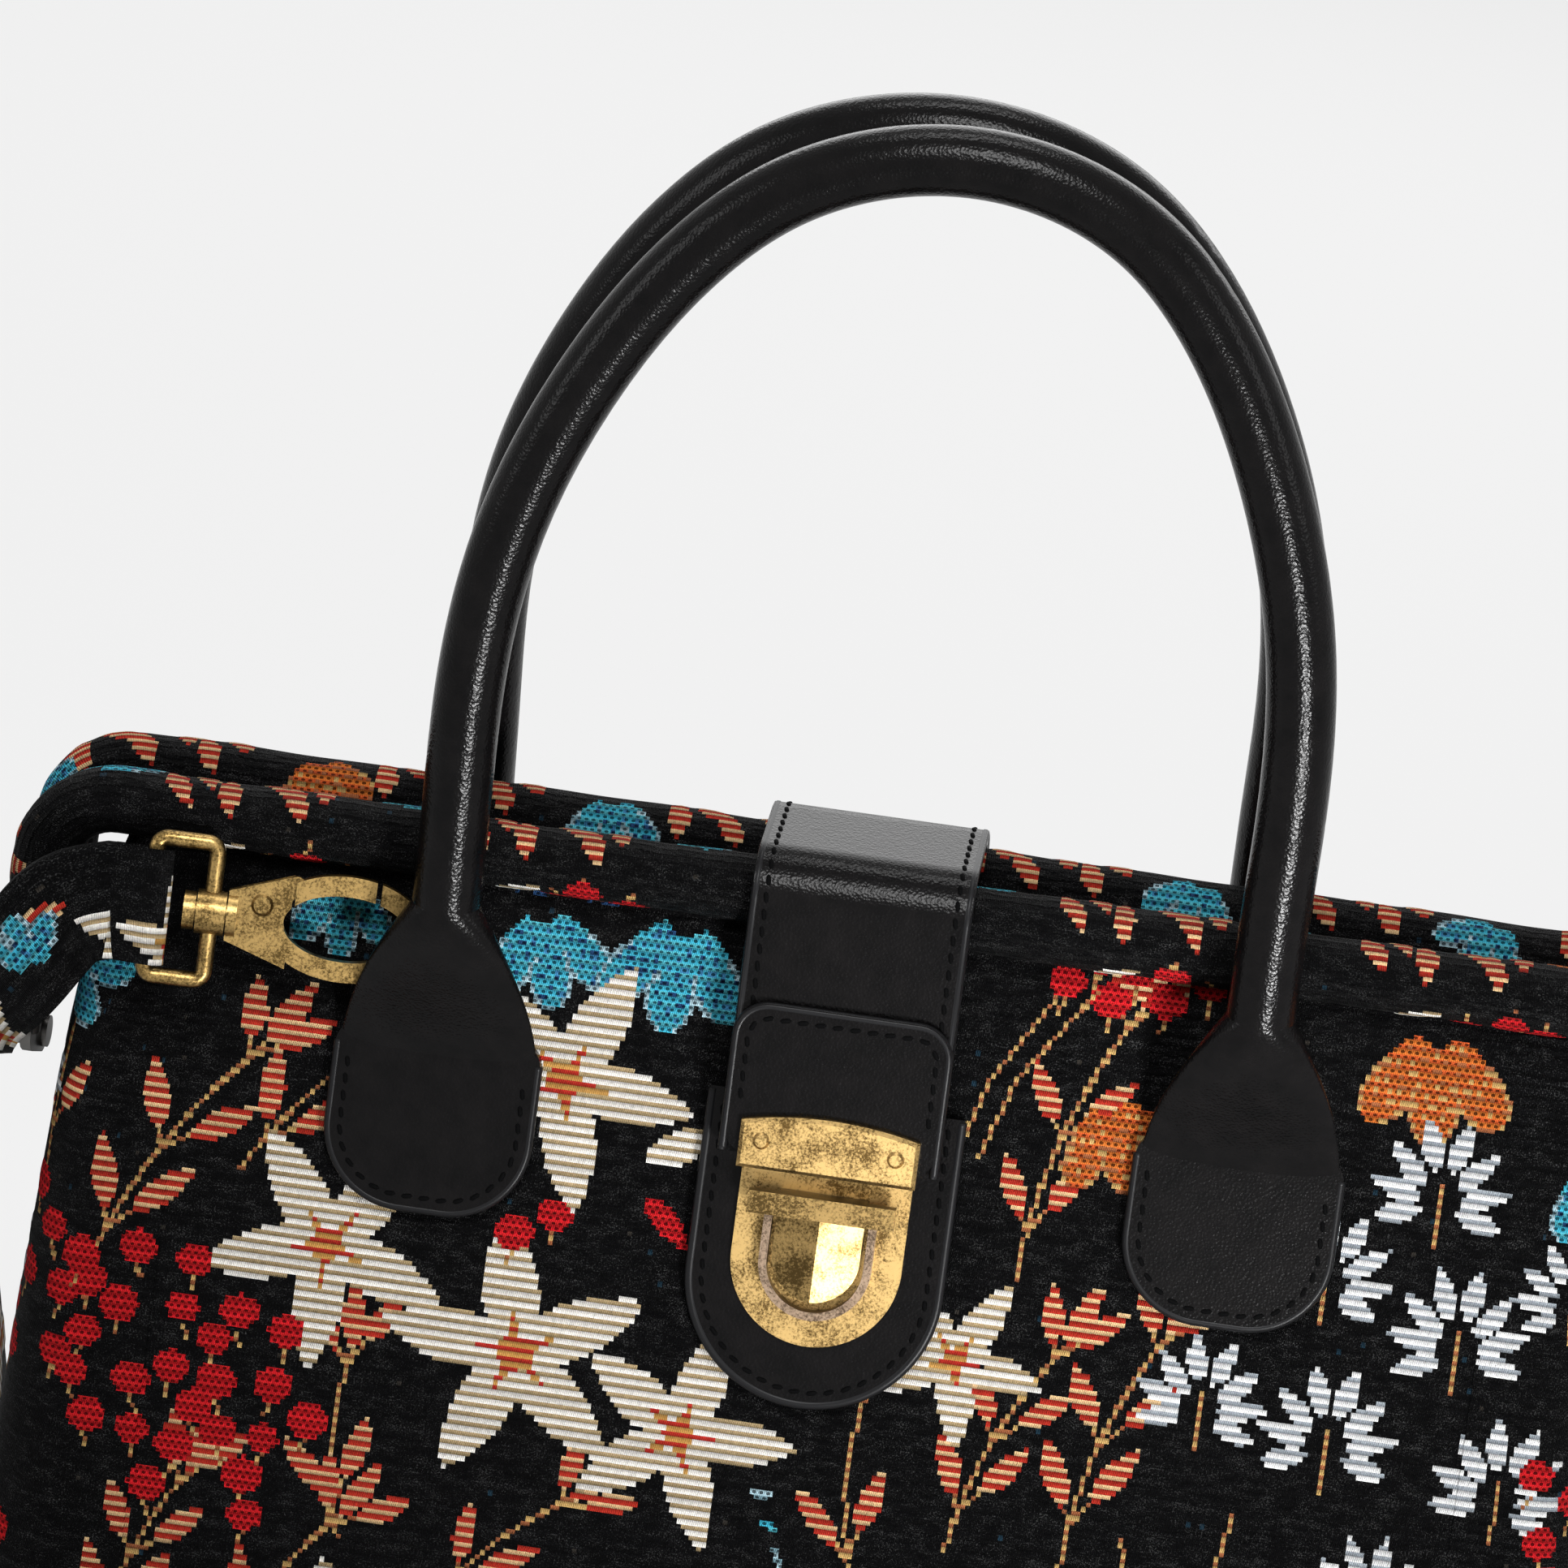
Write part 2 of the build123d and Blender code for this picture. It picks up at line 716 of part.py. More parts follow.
swivel_x = -swivel_end_play - collar_length / 2
bar_x = swivel_x - swivel_reach
swivel_half = (swivel_height - swivel_wire) / 2
with BuildPart() as swivel:
    with BuildLine(hook_plane) as swivel_path:
        FilletPolyline(
            (swivel_x, swivel_half),
            (bar_x, swivel_half),
            (bar_x, -swivel_half),
            (swivel_x, -swivel_half),
            radius=swivel_corner,
            close=True,
        )
    with BuildSketch(swivel_path.wire() ^ 0):
        Circle(swivel_wire / 2)
    sweep(path=swivel_path.wire())
    with BuildSketch(along_hook(-swivel_end_play)):
        Circle(collar_radius)
    extrude(amount=-collar_length)
    with BuildSketch(along_hook(0)):
        Circle(post_radius + post_clearance)
    extrude(amount=-post_length, mode=Mode.SUBTRACT)

loop_bore = swivel_wire / 2 + carry_loop_clearance
with BuildPart() as strap_loop:
    with BuildSketch(Plane(hook_plane.from_local_coords(Vector(bar_x, 0, 0)), x_dir=hook_plane.x_dir,
                           z_dir=hook_plane.y_dir)):
        Circle(loop_bore + carry_loop_wrap)
        with Locations((-carry_tail / 2, 0)):
            Rectangle(carry_tail, carry_thickness)
        Circle(loop_bore, mode=Mode.SUBTRACT)
    extrude(amount=carry_width / 2, both=True)

ring_x = -hook_collar_x + anchor_ring_inset * cos(tilt)
ring_centre = ring_x + (anchor_ring_length - anchor_ring_wire) / 2
ring_lift = anchor_ring_lift + anchor_ring_depth / 2
with BuildPart() as anchor_ring:
    with BuildLine(cross_plane(ring_centre, hook_drop, ring_lift)) as ring_path:
        ring_half = (anchor_ring_length - anchor_ring_wire) / 2
        ring_rise = (anchor_ring_depth - anchor_ring_wire) / 2
        FilletPolyline(
            (-ring_half, ring_rise),
            (-ring_half, -ring_rise),
            (ring_half, -ring_rise),
            (ring_half, ring_rise),
            radius=anchor_ring_corner,
            close=True,
        )
    with BuildSketch(ring_path.wire() ^ 0):
        Circle(anchor_ring_wire / 2)
    sweep(path=ring_path.wire())

chape_x = ring_centre + (anchor_ring_length - chape_width) / 2 - anchor_ring_wire - chape_inset
chape_bore = anchor_ring_wire / 2 + chape_clearance
bar_lift = anchor_ring_lift + anchor_ring_wire / 2
tail_lift = sew_gap
with BuildPart() as chape:
    with BuildSketch(
        Plane(on_front(chape_x, hook_drop, bar_lift), x_dir=(0, sin(lean), cos(lean)), z_dir=(1, 0, 0))
    ):
        Circle(chape_bore + chape_thickness)
        with Locations((-chape_length / 2, bar_lift - tail_lift - chape_thickness / 2)):
            Rectangle(chape_length, chape_thickness)
        Circle(chape_bore, mode=Mode.SUBTRACT)
    extrude(amount=chape_width / 2, both=True)

for piece, name in (
    (hook, "hook"),
    (gate, "hook_gate"),
    (gate_pin, "gate_pin"),
    (swivel, "swivel_ring"),
    (strap_loop, "strap_loop"),
    (anchor_ring, "anchor_ring"),
    (chape, "ring_chape"),
):
    keep(piece.part, f"left_{name}")
    keep(turned(piece.part), f"right_{name}")

# Shoulder strap: round each end of the bag, down to the floor and along behind it
carry_x = leg_x(binding_low) + binding_radius + carry_side_gap + carry_thickness / 2
joint_x = bar_x - carry_tail - carry_joint_gap
start_x = -hook_collar_x + joint_x * cos(tilt)
start_out = hook_stand_off - joint_x * sin(tilt)
corner_out = start_out + (carry_x + start_x) * sin(tilt) / cos(tilt)
wrap_in = carry_bend_radius + carry_end_overlap

with BuildPart() as carry_corner:
    with BuildSketch(cross_plane(0, hook_drop, 0)):
        with BuildLine():
            FilletPolyline(
                (start_x, -start_out), (-carry_x, -corner_out), (-carry_x, wrap_in), radius=carry_bend_radius
            )
        trace(line_width=carry_thickness)
    extrude(amount=carry_width / 2, both=True)

end_start = on_front(0, hook_drop, -wrap_in + carry_end_overlap)
end_turn = on_front(0, hook_drop, -wrap_in - carry_end_run)
slack_turn = on_front(0, hook_drop, -wrap_in - carry_slack_y)
with BuildPart() as shoulder_strap:
    add(carry_corner.part)
    add(turned(carry_corner.part))
    with BuildSketch(Plane.YZ.offset(-carry_x)):
        with BuildLine():
            FilletPolyline(
                (end_start.Y, end_start.Z),
                (end_turn.Y, end_turn.Z),
                (carry_floor_y, carry_fall_height),
                (carry_floor_y, 0),
                radius=carry_bend_radius,
            )
        trace(line_width=carry_width)
    extrude(amount=carry_thickness / 2, both=True)
    with BuildSketch(Plane.YZ.offset(carry_x)):
        with BuildLine():
            FilletPolyline(
                (-end_start.Y, end_start.Z),
                (-slack_turn.Y, slack_turn.Z),
                (-carry_slack_low_y, carry_slack_low_z),
                (carry_floor_y, carry_fall_height),
                (carry_floor_y, 0),
                radius=carry_bend_radius,
            )
        trace(line_width=carry_width)
    extrude(amount=carry_thickness / 2, both=True)
    with BuildSketch():
        with BuildLine():
            FilletPolyline(
                (-carry_x, carry_floor_y),
                (-carry_floor_turn_x, carry_floor_run_y),
                (carry_floor_turn_x, carry_floor_run_y),
                (carry_x, carry_floor_y),
                radius=carry_bend_radius,
            )
        trace(line_width=carry_width)
    extrude(amount=carry_thickness)
keep(shoulder_strap.part, "shoulder_strap")
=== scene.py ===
"""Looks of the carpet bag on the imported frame: cloth, leather, brass, stitching, light and camera."""

import json
import math

import bpy
import numpy as np
from mathutils import Matrix, Vector


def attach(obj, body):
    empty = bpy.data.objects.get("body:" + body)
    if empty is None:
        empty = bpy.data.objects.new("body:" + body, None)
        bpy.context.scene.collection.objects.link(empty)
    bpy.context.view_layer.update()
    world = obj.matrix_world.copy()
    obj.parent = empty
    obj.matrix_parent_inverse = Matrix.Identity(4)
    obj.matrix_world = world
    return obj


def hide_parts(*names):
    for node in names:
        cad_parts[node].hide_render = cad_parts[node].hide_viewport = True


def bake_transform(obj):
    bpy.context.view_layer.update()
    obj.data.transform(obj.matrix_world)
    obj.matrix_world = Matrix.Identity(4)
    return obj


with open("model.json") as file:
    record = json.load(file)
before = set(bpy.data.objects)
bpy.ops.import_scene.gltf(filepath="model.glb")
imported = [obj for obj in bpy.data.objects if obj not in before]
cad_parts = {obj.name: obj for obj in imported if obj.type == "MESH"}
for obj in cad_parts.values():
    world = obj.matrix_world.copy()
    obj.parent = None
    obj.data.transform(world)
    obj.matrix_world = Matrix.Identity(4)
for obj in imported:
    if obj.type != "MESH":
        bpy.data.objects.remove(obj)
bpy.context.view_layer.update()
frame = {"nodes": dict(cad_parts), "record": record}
nodes = frame["nodes"]

# Sizes shared with the model, in millimetres
BASE_LENGTH, BASE_DEPTH, BASE_CORNER = 352.0, 156.0, 26.0
PANEL_TOP, TOP_LENGTH, TOP_DEPTH, TOP_CORNER = 222.0, 322.0, 20.0, 8.0
SEAM_X, BOTTOM_Z = 137.0, 15.0
BINDING_R, BINDING_Y, BINDING_Z, BINDING_LEG, BINDING_CORNER = 7.5, 10.0, 229.8, 46.0, 15.0
BINDING_SIDE = 1.2
HALF_SPAN, TAB_WIDTH, TAB_DROP, TAB_CORNER, TAB_THICK = 83.5, 43.0, 69.0, 17.0, 3.2
HANDLE_R, HANDLE_LEG, ARCH_HEIGHT, CROWN_R = 7.0, 44.0, 123.4, 63.0
FRONT_SWAY, FRONT_LEAN = 6.0, 2.7
BACK_SHIFT, BACK_SWAY, BACK_LEAN = 3.0, -3.5, 9.1
NECK_DROP, NECK_OUT = 2.0, 21.0
STRAP_WIDTH, STRAP_THICK, STRAP_R = 45.0, 3.0, 9.4
LOCK_TAB_WIDTH, LOCK_TAB_TOP, LOCK_TAB_DROP = 53.0, 34.0, 98.0
LOCK_TAB_CORNER, LOCK_TAB_THICK = 30.0, 3.0
OVERLAY_LENGTH, OVERLAY_THICK, SEW_GAP = 32.0, 2.2, 0.05
TIP_DROP, TIP_OUT = 46.0, 7.6
CARRY_WIDTH, CARRY_THICK = 24.0, 4.4

# The weave: height of one row of each yarn, and the main yarn's share of it
ROW, MAIN_SHARE = 2.1, 0.56
# How far apart one repeat of the body's figure is from the next
REPEAT = 330.0
# Depth of the slack cloth's hollows, and depth and half width of the fold down each end
WAVE_DEPTH, FOLD_DEPTH, FOLD_WIDE = 0.45, 9.0, 9.0
# Cell lengths along the rows: front and rolls, ends, back
FINE_CELL, GUSSET_CELL, BACK_CELL = 0.95, 1.35, 1.4
# Leather work: a stitch's lift off its face and slant, a painted edge's bead and the step along it
STITCH_LIFT, STITCH_SLOPE, EDGE_BEAD, EDGE_STEP = 0.02, 0.16, 1.9, 0.8

# The front panel's lean from the upright
LEAN = math.atan2((BASE_DEPTH - TOP_DEPTH) / 2, PANEL_TOP)
SIN, COS = math.sin(LEAN), math.cos(LEAN)
rng = np.random.default_rng(7)


def on_front(x, drop, out):
    """Points over the front panel, drop measured down it from its top edge, as an array (..., 3)."""
    x, drop, out = np.broadcast_arrays(*(np.asarray(v, float) for v in (x, drop, out)))
    y = -TOP_DEPTH / 2 - drop * SIN - out * COS
    z = PANEL_TOP - drop * COS + out * SIN
    return np.stack([x, y, z], -1)


def unit(vectors):
    """The same directions at length one."""
    return vectors / np.linalg.norm(vectors, axis=-1, keepdims=True)


def distances(path):
    """How far along a path each of its points is."""
    return np.concatenate([[0], np.cumsum(np.linalg.norm(np.diff(path, axis=0), axis=1))])


def read_at(at, so_far, values):
    """Values along a path, read at one or more distances from its start."""
    return np.stack([np.interp(at, so_far, column) for column in values.T], -1)


def half_turn(p):
    """The same points on the other side of the bag."""
    return p * np.array([-1.0, -1.0, 1.0])


# Colours of the yarns, linear
BLACK, WHITE, LEAF, RED, BLUE, ORANGE, FERN, STEM, ROYAL, CENTRE, SPECK, PALE = range(12)
YARN = {
    BLACK: ((0.0024, 0.0024, 0.0027), (0.0017, 0.0017, 0.0019)),
    WHITE: ((0.88, 0.85, 0.80), (0.46, 0.34, 0.18)),
    LEAF: ((0.44, 0.030, 0.018), (0.74, 0.50, 0.26)),
    RED: ((0.62, 0.014, 0.020), (0.56, 0.016, 0.018)),
    BLUE: ((0.05, 0.42, 0.58), (0.09, 0.46, 0.56)),
    ORANGE: ((0.66, 0.17, 0.03), (0.60, 0.10, 0.025)),
    FERN: ((0.86, 0.86, 0.86), (0.34, 0.38, 0.42)),
    STEM: ((0.56, 0.36, 0.13), (0.36, 0.12, 0.05)),
    ROYAL: ((0.05, 0.22, 0.42), (0.02, 0.06, 0.16)),
    CENTRE: ((0.55, 0.30, 0.08), (0.50, 0.03, 0.02)),
    SPECK: ((0.010, 0.028, 0.045), (0.030, 0.026, 0.022)),
    PALE: ((0.42, 0.60, 0.68), (0.20, 0.34, 0.40)),
}
RELIEF = np.full(len(YARN), 0.30)
RELIEF[[BLACK, SPECK]] = 0.0
# Yarns that lie in a net of small holes instead of plain rows
NETTED = (RED, BLUE, ORANGE, ROYAL, PALE)


class Field:
    """The woven figure on a piece of cloth: a class of yarn for each cell, painted motif by motif."""

    def __init__(self, x, y):
        self.x, self.y = x, y
        self.kind = np.full(x.shape, BLACK, np.int16)

    def near(self, cx, cy, reach, turn):
        """Cells within reach of a centre, and their coordinates turned to the motif's own axes."""
        hit = np.nonzero((abs(self.x - cx) < reach) & (abs(self.y - cy) < reach))
        dx, dy = self.x[hit] - cx, self.y[hit] - cy
        c, s = math.cos(turn), math.sin(turn)
        return hit, dx * c + dy * s, -dx * s + dy * c

    def put(self, hit, inside, kind):
        """Sets the class of the cells inside a shape."""
        self.kind[tuple(h[inside] for h in hit)] = kind

    def leaf(self, cx, cy, length, width, turn, kind):
        """A pointed leaf from (cx, cy), pointing along turn."""
        hit, a, b = self.near(cx, cy, length, turn)
        t = np.clip(a / length, 0, 1)
        wide = width / 2 * np.sin(math.pi * t**0.8) ** 0.8
        self.put(hit, (a > 0) & (a < length) & (abs(b) < wide), kind)

    def line(self, points, width, kind):
        """A thin stem through points."""
        for (ax, ay), (bx, by) in zip(points[:-1], points[1:]):
            length = math.hypot(bx - ax, by - ay)
            hit, a, b = self.near(ax, ay, length + width, math.atan2(by - ay, bx - ax))
            self.put(hit, (a > -0.3) & (a < length) & (abs(b) < width / 2), kind)

    def star(self, cx, cy, size, turn):
        """A five-petalled white flower with a gold and red heart."""
        for k in range(5):
            angle = turn + 2 * math.pi * k / 5
            hit, a, b = self.near(cx, cy, size, angle)
            t = np.clip(a / size, 0, 1)
            wide = 0.205 * size * np.sin(math.pi * t**0.8) ** 0.75
            self.put(hit, (a > 0) & (a < size) & (abs(b) < wide) & ~((abs(b) < 0.5) & (t < 0.3)), WHITE)
            self.leaf(cx, cy, size * 0.34, 1.7, angle, CENTRE)
        hit, a, b = self.near(cx, cy, size * 0.13, 0)
        self.put(hit, a * a + b * b < (size * 0.13) ** 2, CENTRE)

    def berries(self, cx, cy, wide, tall, count, seed):
        """A loose cluster of round berries."""
        pick = np.random.default_rng(seed)
        done = []
        for _ in range(count * 30):
            u, v = pick.uniform(-1, 1, 2)
            px, py = cx + wide * u, cy + tall * v
            if u * u + v * v > 1 or any(math.hypot(px - qx, py - qy) < 8.0 for qx, qy in done):
                continue
            done.append((px, py))
            hit, a, b = self.near(px, py, 5, 0)
            size = pick.uniform(3.4, 4.3)
            self.put(hit, (a / size) ** 2 + (b / (size * 0.9)) ** 2 < 1, RED)
            self.line([(px, py + size), (px + pick.uniform(-2, 2), py + size + 3)], 0.9, STEM)
            if len(done) == count:
                break

    def sprig(self, cx, cy, length, turn, pairs, leaf):
        """A stem with leaves in pairs, starting at (cx, cy) and growing along turn."""
        bend = 0.25
        path = []
        for t in np.linspace(0, 1, 13):
            a = turn + bend * t
            path.append((cx + length * t * math.cos(a), cy + length * t * math.sin(a)))
        self.line(path, 1.0, STEM)
        for k in range(pairs):
            t = 0.22 + 0.7 * k / max(pairs - 1, 1)
            px, py = path[int(t * 12)]
            a = turn + bend * t
            for side in (-1, 1):
                way = a + side * (0.5 + 0.12 * (k % 2))
                reach = leaf * (0.42 if side > 0 else 0.25)
                tip = (px + reach * math.cos(way), py + reach * math.sin(way))
                self.line([(px, py), tip], 0.9, STEM)
                self.leaf(*tip, leaf * (1.0 - 0.2 * t), leaf * 0.33, way, LEAF)
        self.leaf(path[-1][0], path[-1][1], leaf, leaf * 0.34, turn + bend, LEAF)

    def blossom(self, cx, cy, size, turn, kind=BLUE, edge=PALE, lobes=3):
        """A fan of rounded lobes with an open lattice woven into it."""
        for k in range(lobes):
            angle = turn + (k - (lobes - 1) / 2) * 0.62
            hit, a, b = self.near(cx, cy, size * 1.1, angle)
            t = np.clip(a / size, 0, 1)
            wide = size * 0.30 * np.sqrt(t) * np.sqrt(1 - t**4)
            inside = (a > 0.15 * size) & (a < size) & (abs(b) < wide)
            self.put(hit, inside, kind)
            self.put(hit, inside & (abs(b) > wide - 1.0) & (t > 0.45), edge)
            grid = (np.floor((a + b) / 1.9) % 2 == 0) & (np.floor((a - b) / 1.9) % 2 == 0)
            inner = inside & grid & (t < 0.9) & (abs(b) < wide - 1.2)
            self.put(hit, inner, STEM if kind == ORANGE else ROYAL)

    def fern(self, cx, cy, size, turn):
        """A white feathered blossom: rounded petals in pairs up a short stalk."""
        self.line([(cx, cy + 0.5 * size), (cx, cy - 0.3 * size)], 0.8, STEM)
        petals = ((1.85, 0.22, 0.60), (1.28, 0.24, 0.68), (0.74, 0.28, 0.70), (0.24, 0.42, 0.66))
        for angle, start, reach in petals:
            for side in (-1, 1):
                way = turn + side * angle
                px, py = cx + start * size * math.cos(way), cy + start * size * math.sin(way)
                self.leaf(px, py, reach * size, 0.26 * size, way, FERN)

    def specks(self):
        """A few stray threads on the bare ground."""
        chance = rng.random(self.kind.shape)
        self.kind[(self.kind == BLACK) & (chance > 0.9975)] = SPECK


# The direction up the cloth, whose y runs down
UP = -math.pi / 2


# One repeat of the body's figure, each motif with its x, its y down the cloth, its size and its turn
# A sprig has its length, its lean, its pairs of leaves and their length
SPRIGS = (
    (-152, 92, 62, 0.3, 3, 17), (-122, 66, 46, 0.5, 2, 17), (-166, 74, 48, -0.05, 2, 15),
    (-92, 140, 40, -0.3, 2, 15), (-140, 172, 44, 0.1, 3, 15), (-112, 168, 38, 0.3, 2, 15),
    (-70, 150, 36, 0.55, 2, 14), (41, 66, 62, 0.05, 3, 15), (34, 124, 50, 0.15, 3, 15),
    (58, 124, 54, 0.05, 3, 16), (16, 136, 44, -0.3, 2, 15), (-8, 200, 50, 0.15, 3, 17),
    (92, 198, 50, -0.1, 3, 17),
)
BLUE_BLOSSOMS = (
    (-66, 3, 21, 1.35), (-36, 1, 24, 1.65), (-108, 2, 17, 1.5), (-172, 22, 24, 0.9),
)
STARS = (
    (-102, 79, 27, 0.35), (-60, 96, 29, 0.75), (-24, 108, 25, 1.25), (-57, 38, 28, 0.12),
    (-84, 168, 26, 0.5), (10, 160, 26, 0.9), (31, 84, 19, 0.2),
)
# A cluster has half its width and height, its count and its seed
BERRIES = (
    (-137, 108, 17, 28, 15, 3), (-112, 116, 12, 24, 9, 4), (-165, 96, 14, 22, 9, 5),
    (-56, 68, 9, 6, 2, 6), (60, 1, 20, 8, 7, 8), (150, 160, 18, 22, 12, 9),
)
# A later blossom also has its yarn, its edge's yarn and its lobes
LATE_BLOSSOMS = (
    (55, 26, 20, 1.2, ORANGE, STEM, 3), (120, 2, 24, 1.5, ORANGE, STEM, 3),
    (153, 26, 16, 1.4, BLUE, PALE, 2),
)
FERNS = (
    (125, 38, 17, 0), (104, 58, 16, 0.2), (133, 68, 17, -0.1), (82, 88, 16, 0.1),
    (109, 92, 17, 0), (145, 98, 17, 0.15), (155, 56, 14, -0.2), (122, 124, 15, -0.1),
)
BARE_STEMS = (
    ((84, 160), (88, 130), (92, 108)),
    ((76, 165), (74, 135), (70, 116)),
    ((26, 40), (30, 26), (42, 6)),
    ((30, 42), (36, 24), (50, 4)),
)


def garden(field, shift):
    """One repeat of the figure, shifted sideways; what is painted later lies on top."""
    for x, y, length, lean, pairs, leaf in SPRIGS:
        field.sprig(shift + x, y, length, UP + lean, pairs, leaf)
    for x, *rest in BLUE_BLOSSOMS:
        field.blossom(shift + x, *rest)
    for x, *rest in STARS:
        field.star(shift + x, *rest)
    field.leaf(shift - 38, 52, 17, 7, -0.5, WHITE)
    field.leaf(shift - 37, 60, 14, 5, 0.75, RED)
    for x, *rest in BERRIES:
        field.berries(shift + x, *rest)
    for x, *rest in LATE_BLOSSOMS:
        field.blossom(shift + x, *rest)
    for x, y, size, lean in FERNS:
        field.fern(shift + x, y, size, UP + lean)
    for points in BARE_STEMS:
        field.line([(shift + x, y) for x, y in points], 0.9, STEM)
    for k in range(9):
        field.leaf(shift - 94 + 5 * k, -1.5 + 0.8 * (k % 3), 4, 1.2, 0.1, ROYAL)
        field.leaf(shift - 8 + 3 * (k % 5), 118 + 5 * k, 6, 1.5, 0.5 * (k % 4), BLUE if k % 2 else PALE)
        field.leaf(shift + 20 + 14 * k, 178 + 5 * (k % 4), 6, 2, UP, FERN if k % 2 else STEM)


def paint_body(field):
    """Figures on the body cloth: x runs round the bag from the front's middle, y down from its top."""
    for turns in (0, 1, -1, 2, -2):
        garden(field, turns * REPEAT)
    field.specks()


def paint_roll(field):
    """Figures on the mouth rolls: x runs along the roll from its middle, y round it."""
    for k in range(-4, 5):
        x = 62.0 * k
        for j in range(6):
            field.leaf(x - 22 + 6.4 * j, 14 + 6 * (j % 2), 12, 4.6, UP + 0.5 - 0.2 * (j % 3), LEAF)
        yarns = (ORANGE, STEM) if k == 2 else (BLUE, PALE)
        field.blossom(x + 25, 12, 15, 1.5 + 0.2 * k, *yarns)
        field.berries(x + 8, 36, 10, 7, 5, 30 + k)
        field.leaf(x - 14, 38, 11, 4, 0.4, WHITE)
    field.specks()


def paint_strap(field):
    """Figures on the shoulder strap: x along it, y across it."""
    for k in range(24):
        x = 52.0 * k
        field.star(x + 16, 4, 15, 0.4 + k)
        field.leaf(x + 30, 13, 14, 5, 0.3, LEAF)
        field.blossom(x + 44, 8, 13, 2.0)
        field.leaf(x + 4, -6, 12, 4, -0.4, WHITE)
    field.specks()


# Materials
def shader(name):
    """A new material with its node tree and principled shader."""
    material = bpy.data.materials.new(name)
    material.use_nodes = True
    tree = material.node_tree
    return material, tree, tree.nodes["Principled BSDF"]


def add_node(tree, kind, **values):
    """A node with its named inputs or properties set."""
    node = tree.nodes.new(kind)
    for key, value in values.items():
        if key in node.inputs:
            node.inputs[key].default_value = value
        else:
            setattr(node, key, value)
    return node


def math_node(tree, operation, first, second=None):
    """One arithmetic step on sockets or numbers."""
    node = tree.nodes.new("ShaderNodeMath")
    node.operation = operation
    for socket, value in zip(node.inputs, (first, second)):
        if value is None:
            continue
        if isinstance(value, (int, float)):
            socket.default_value = value
        else:
            tree.links.new(value, socket)
    return node.outputs[0]


def arithmetic(tree):
    """The sum, the product and the sine as functions of sockets or numbers in one node tree."""

    def add(first, second):
        return math_node(tree, "ADD", first, second)

    def times(first, second):
        return math_node(tree, "MULTIPLY", first, second)

    def sine(angle):
        return math_node(tree, "SINE", angle)

    return add, times, sine


def bump(tree, bsdf, height, strength, distance):
    """Feeds a height into the shader's normal."""
    node = add_node(tree, "ShaderNodeBump", Strength=strength, Distance=distance)
    tree.links.new(height, node.inputs["Height"])
    tree.links.new(node.outputs["Normal"], bsdf.inputs["Normal"])


def ramp(tree, value, low, high, dark, light):
    """Two colours mixed by a value between low and high."""
    node = tree.nodes.new("ShaderNodeValToRGB")
    node.color_ramp.elements[0].position = low
    node.color_ramp.elements[0].color = (*dark, 1)
    node.color_ramp.elements[1].position = high
    node.color_ramp.elements[1].color = (*light, 1)
    tree.links.new(value, node.inputs["Fac"])
    return node.outputs["Color"]


def cloth_noise(tree, rows, scale, detail):
    """Noise in the cloth's own coordinates, millimetres along the rows and rows across them."""
    stretch = add_node(tree, "ShaderNodeMapping")
    stretch.inputs["Scale"].default_value = scale
    tree.links.new(rows.outputs["UV"], stretch.inputs["Vector"])
    noise = add_node(tree, "ShaderNodeTexNoise", Scale=1.0, Detail=detail, Roughness=0.7)
    tree.links.new(stretch.outputs["Vector"], noise.inputs["Vector"])
    return noise.outputs["Fac"]


def spread(tree, value, low, high, top=1.0):
    """A value between low and high, spread from nothing to top."""
    node = tree.nodes.new("ShaderNodeMapRange")
    node.inputs["From Min"].default_value = low
    node.inputs["From Max"].default_value = high
    node.inputs["To Max"].default_value = top
    tree.links.new(value, node.inputs["Value"])
    return node.outputs["Result"]


def mixed(tree, blend, first, second):
    """Two colours fully blended in one way."""
    node = add_node(tree, "ShaderNodeMix", data_type="RGBA", blend_type=blend)
    node.inputs["Factor"].default_value = 1.0
    tree.links.new(first, node.inputs["A"])
    tree.links.new(second, node.inputs["B"])
    return node.outputs["Result"]


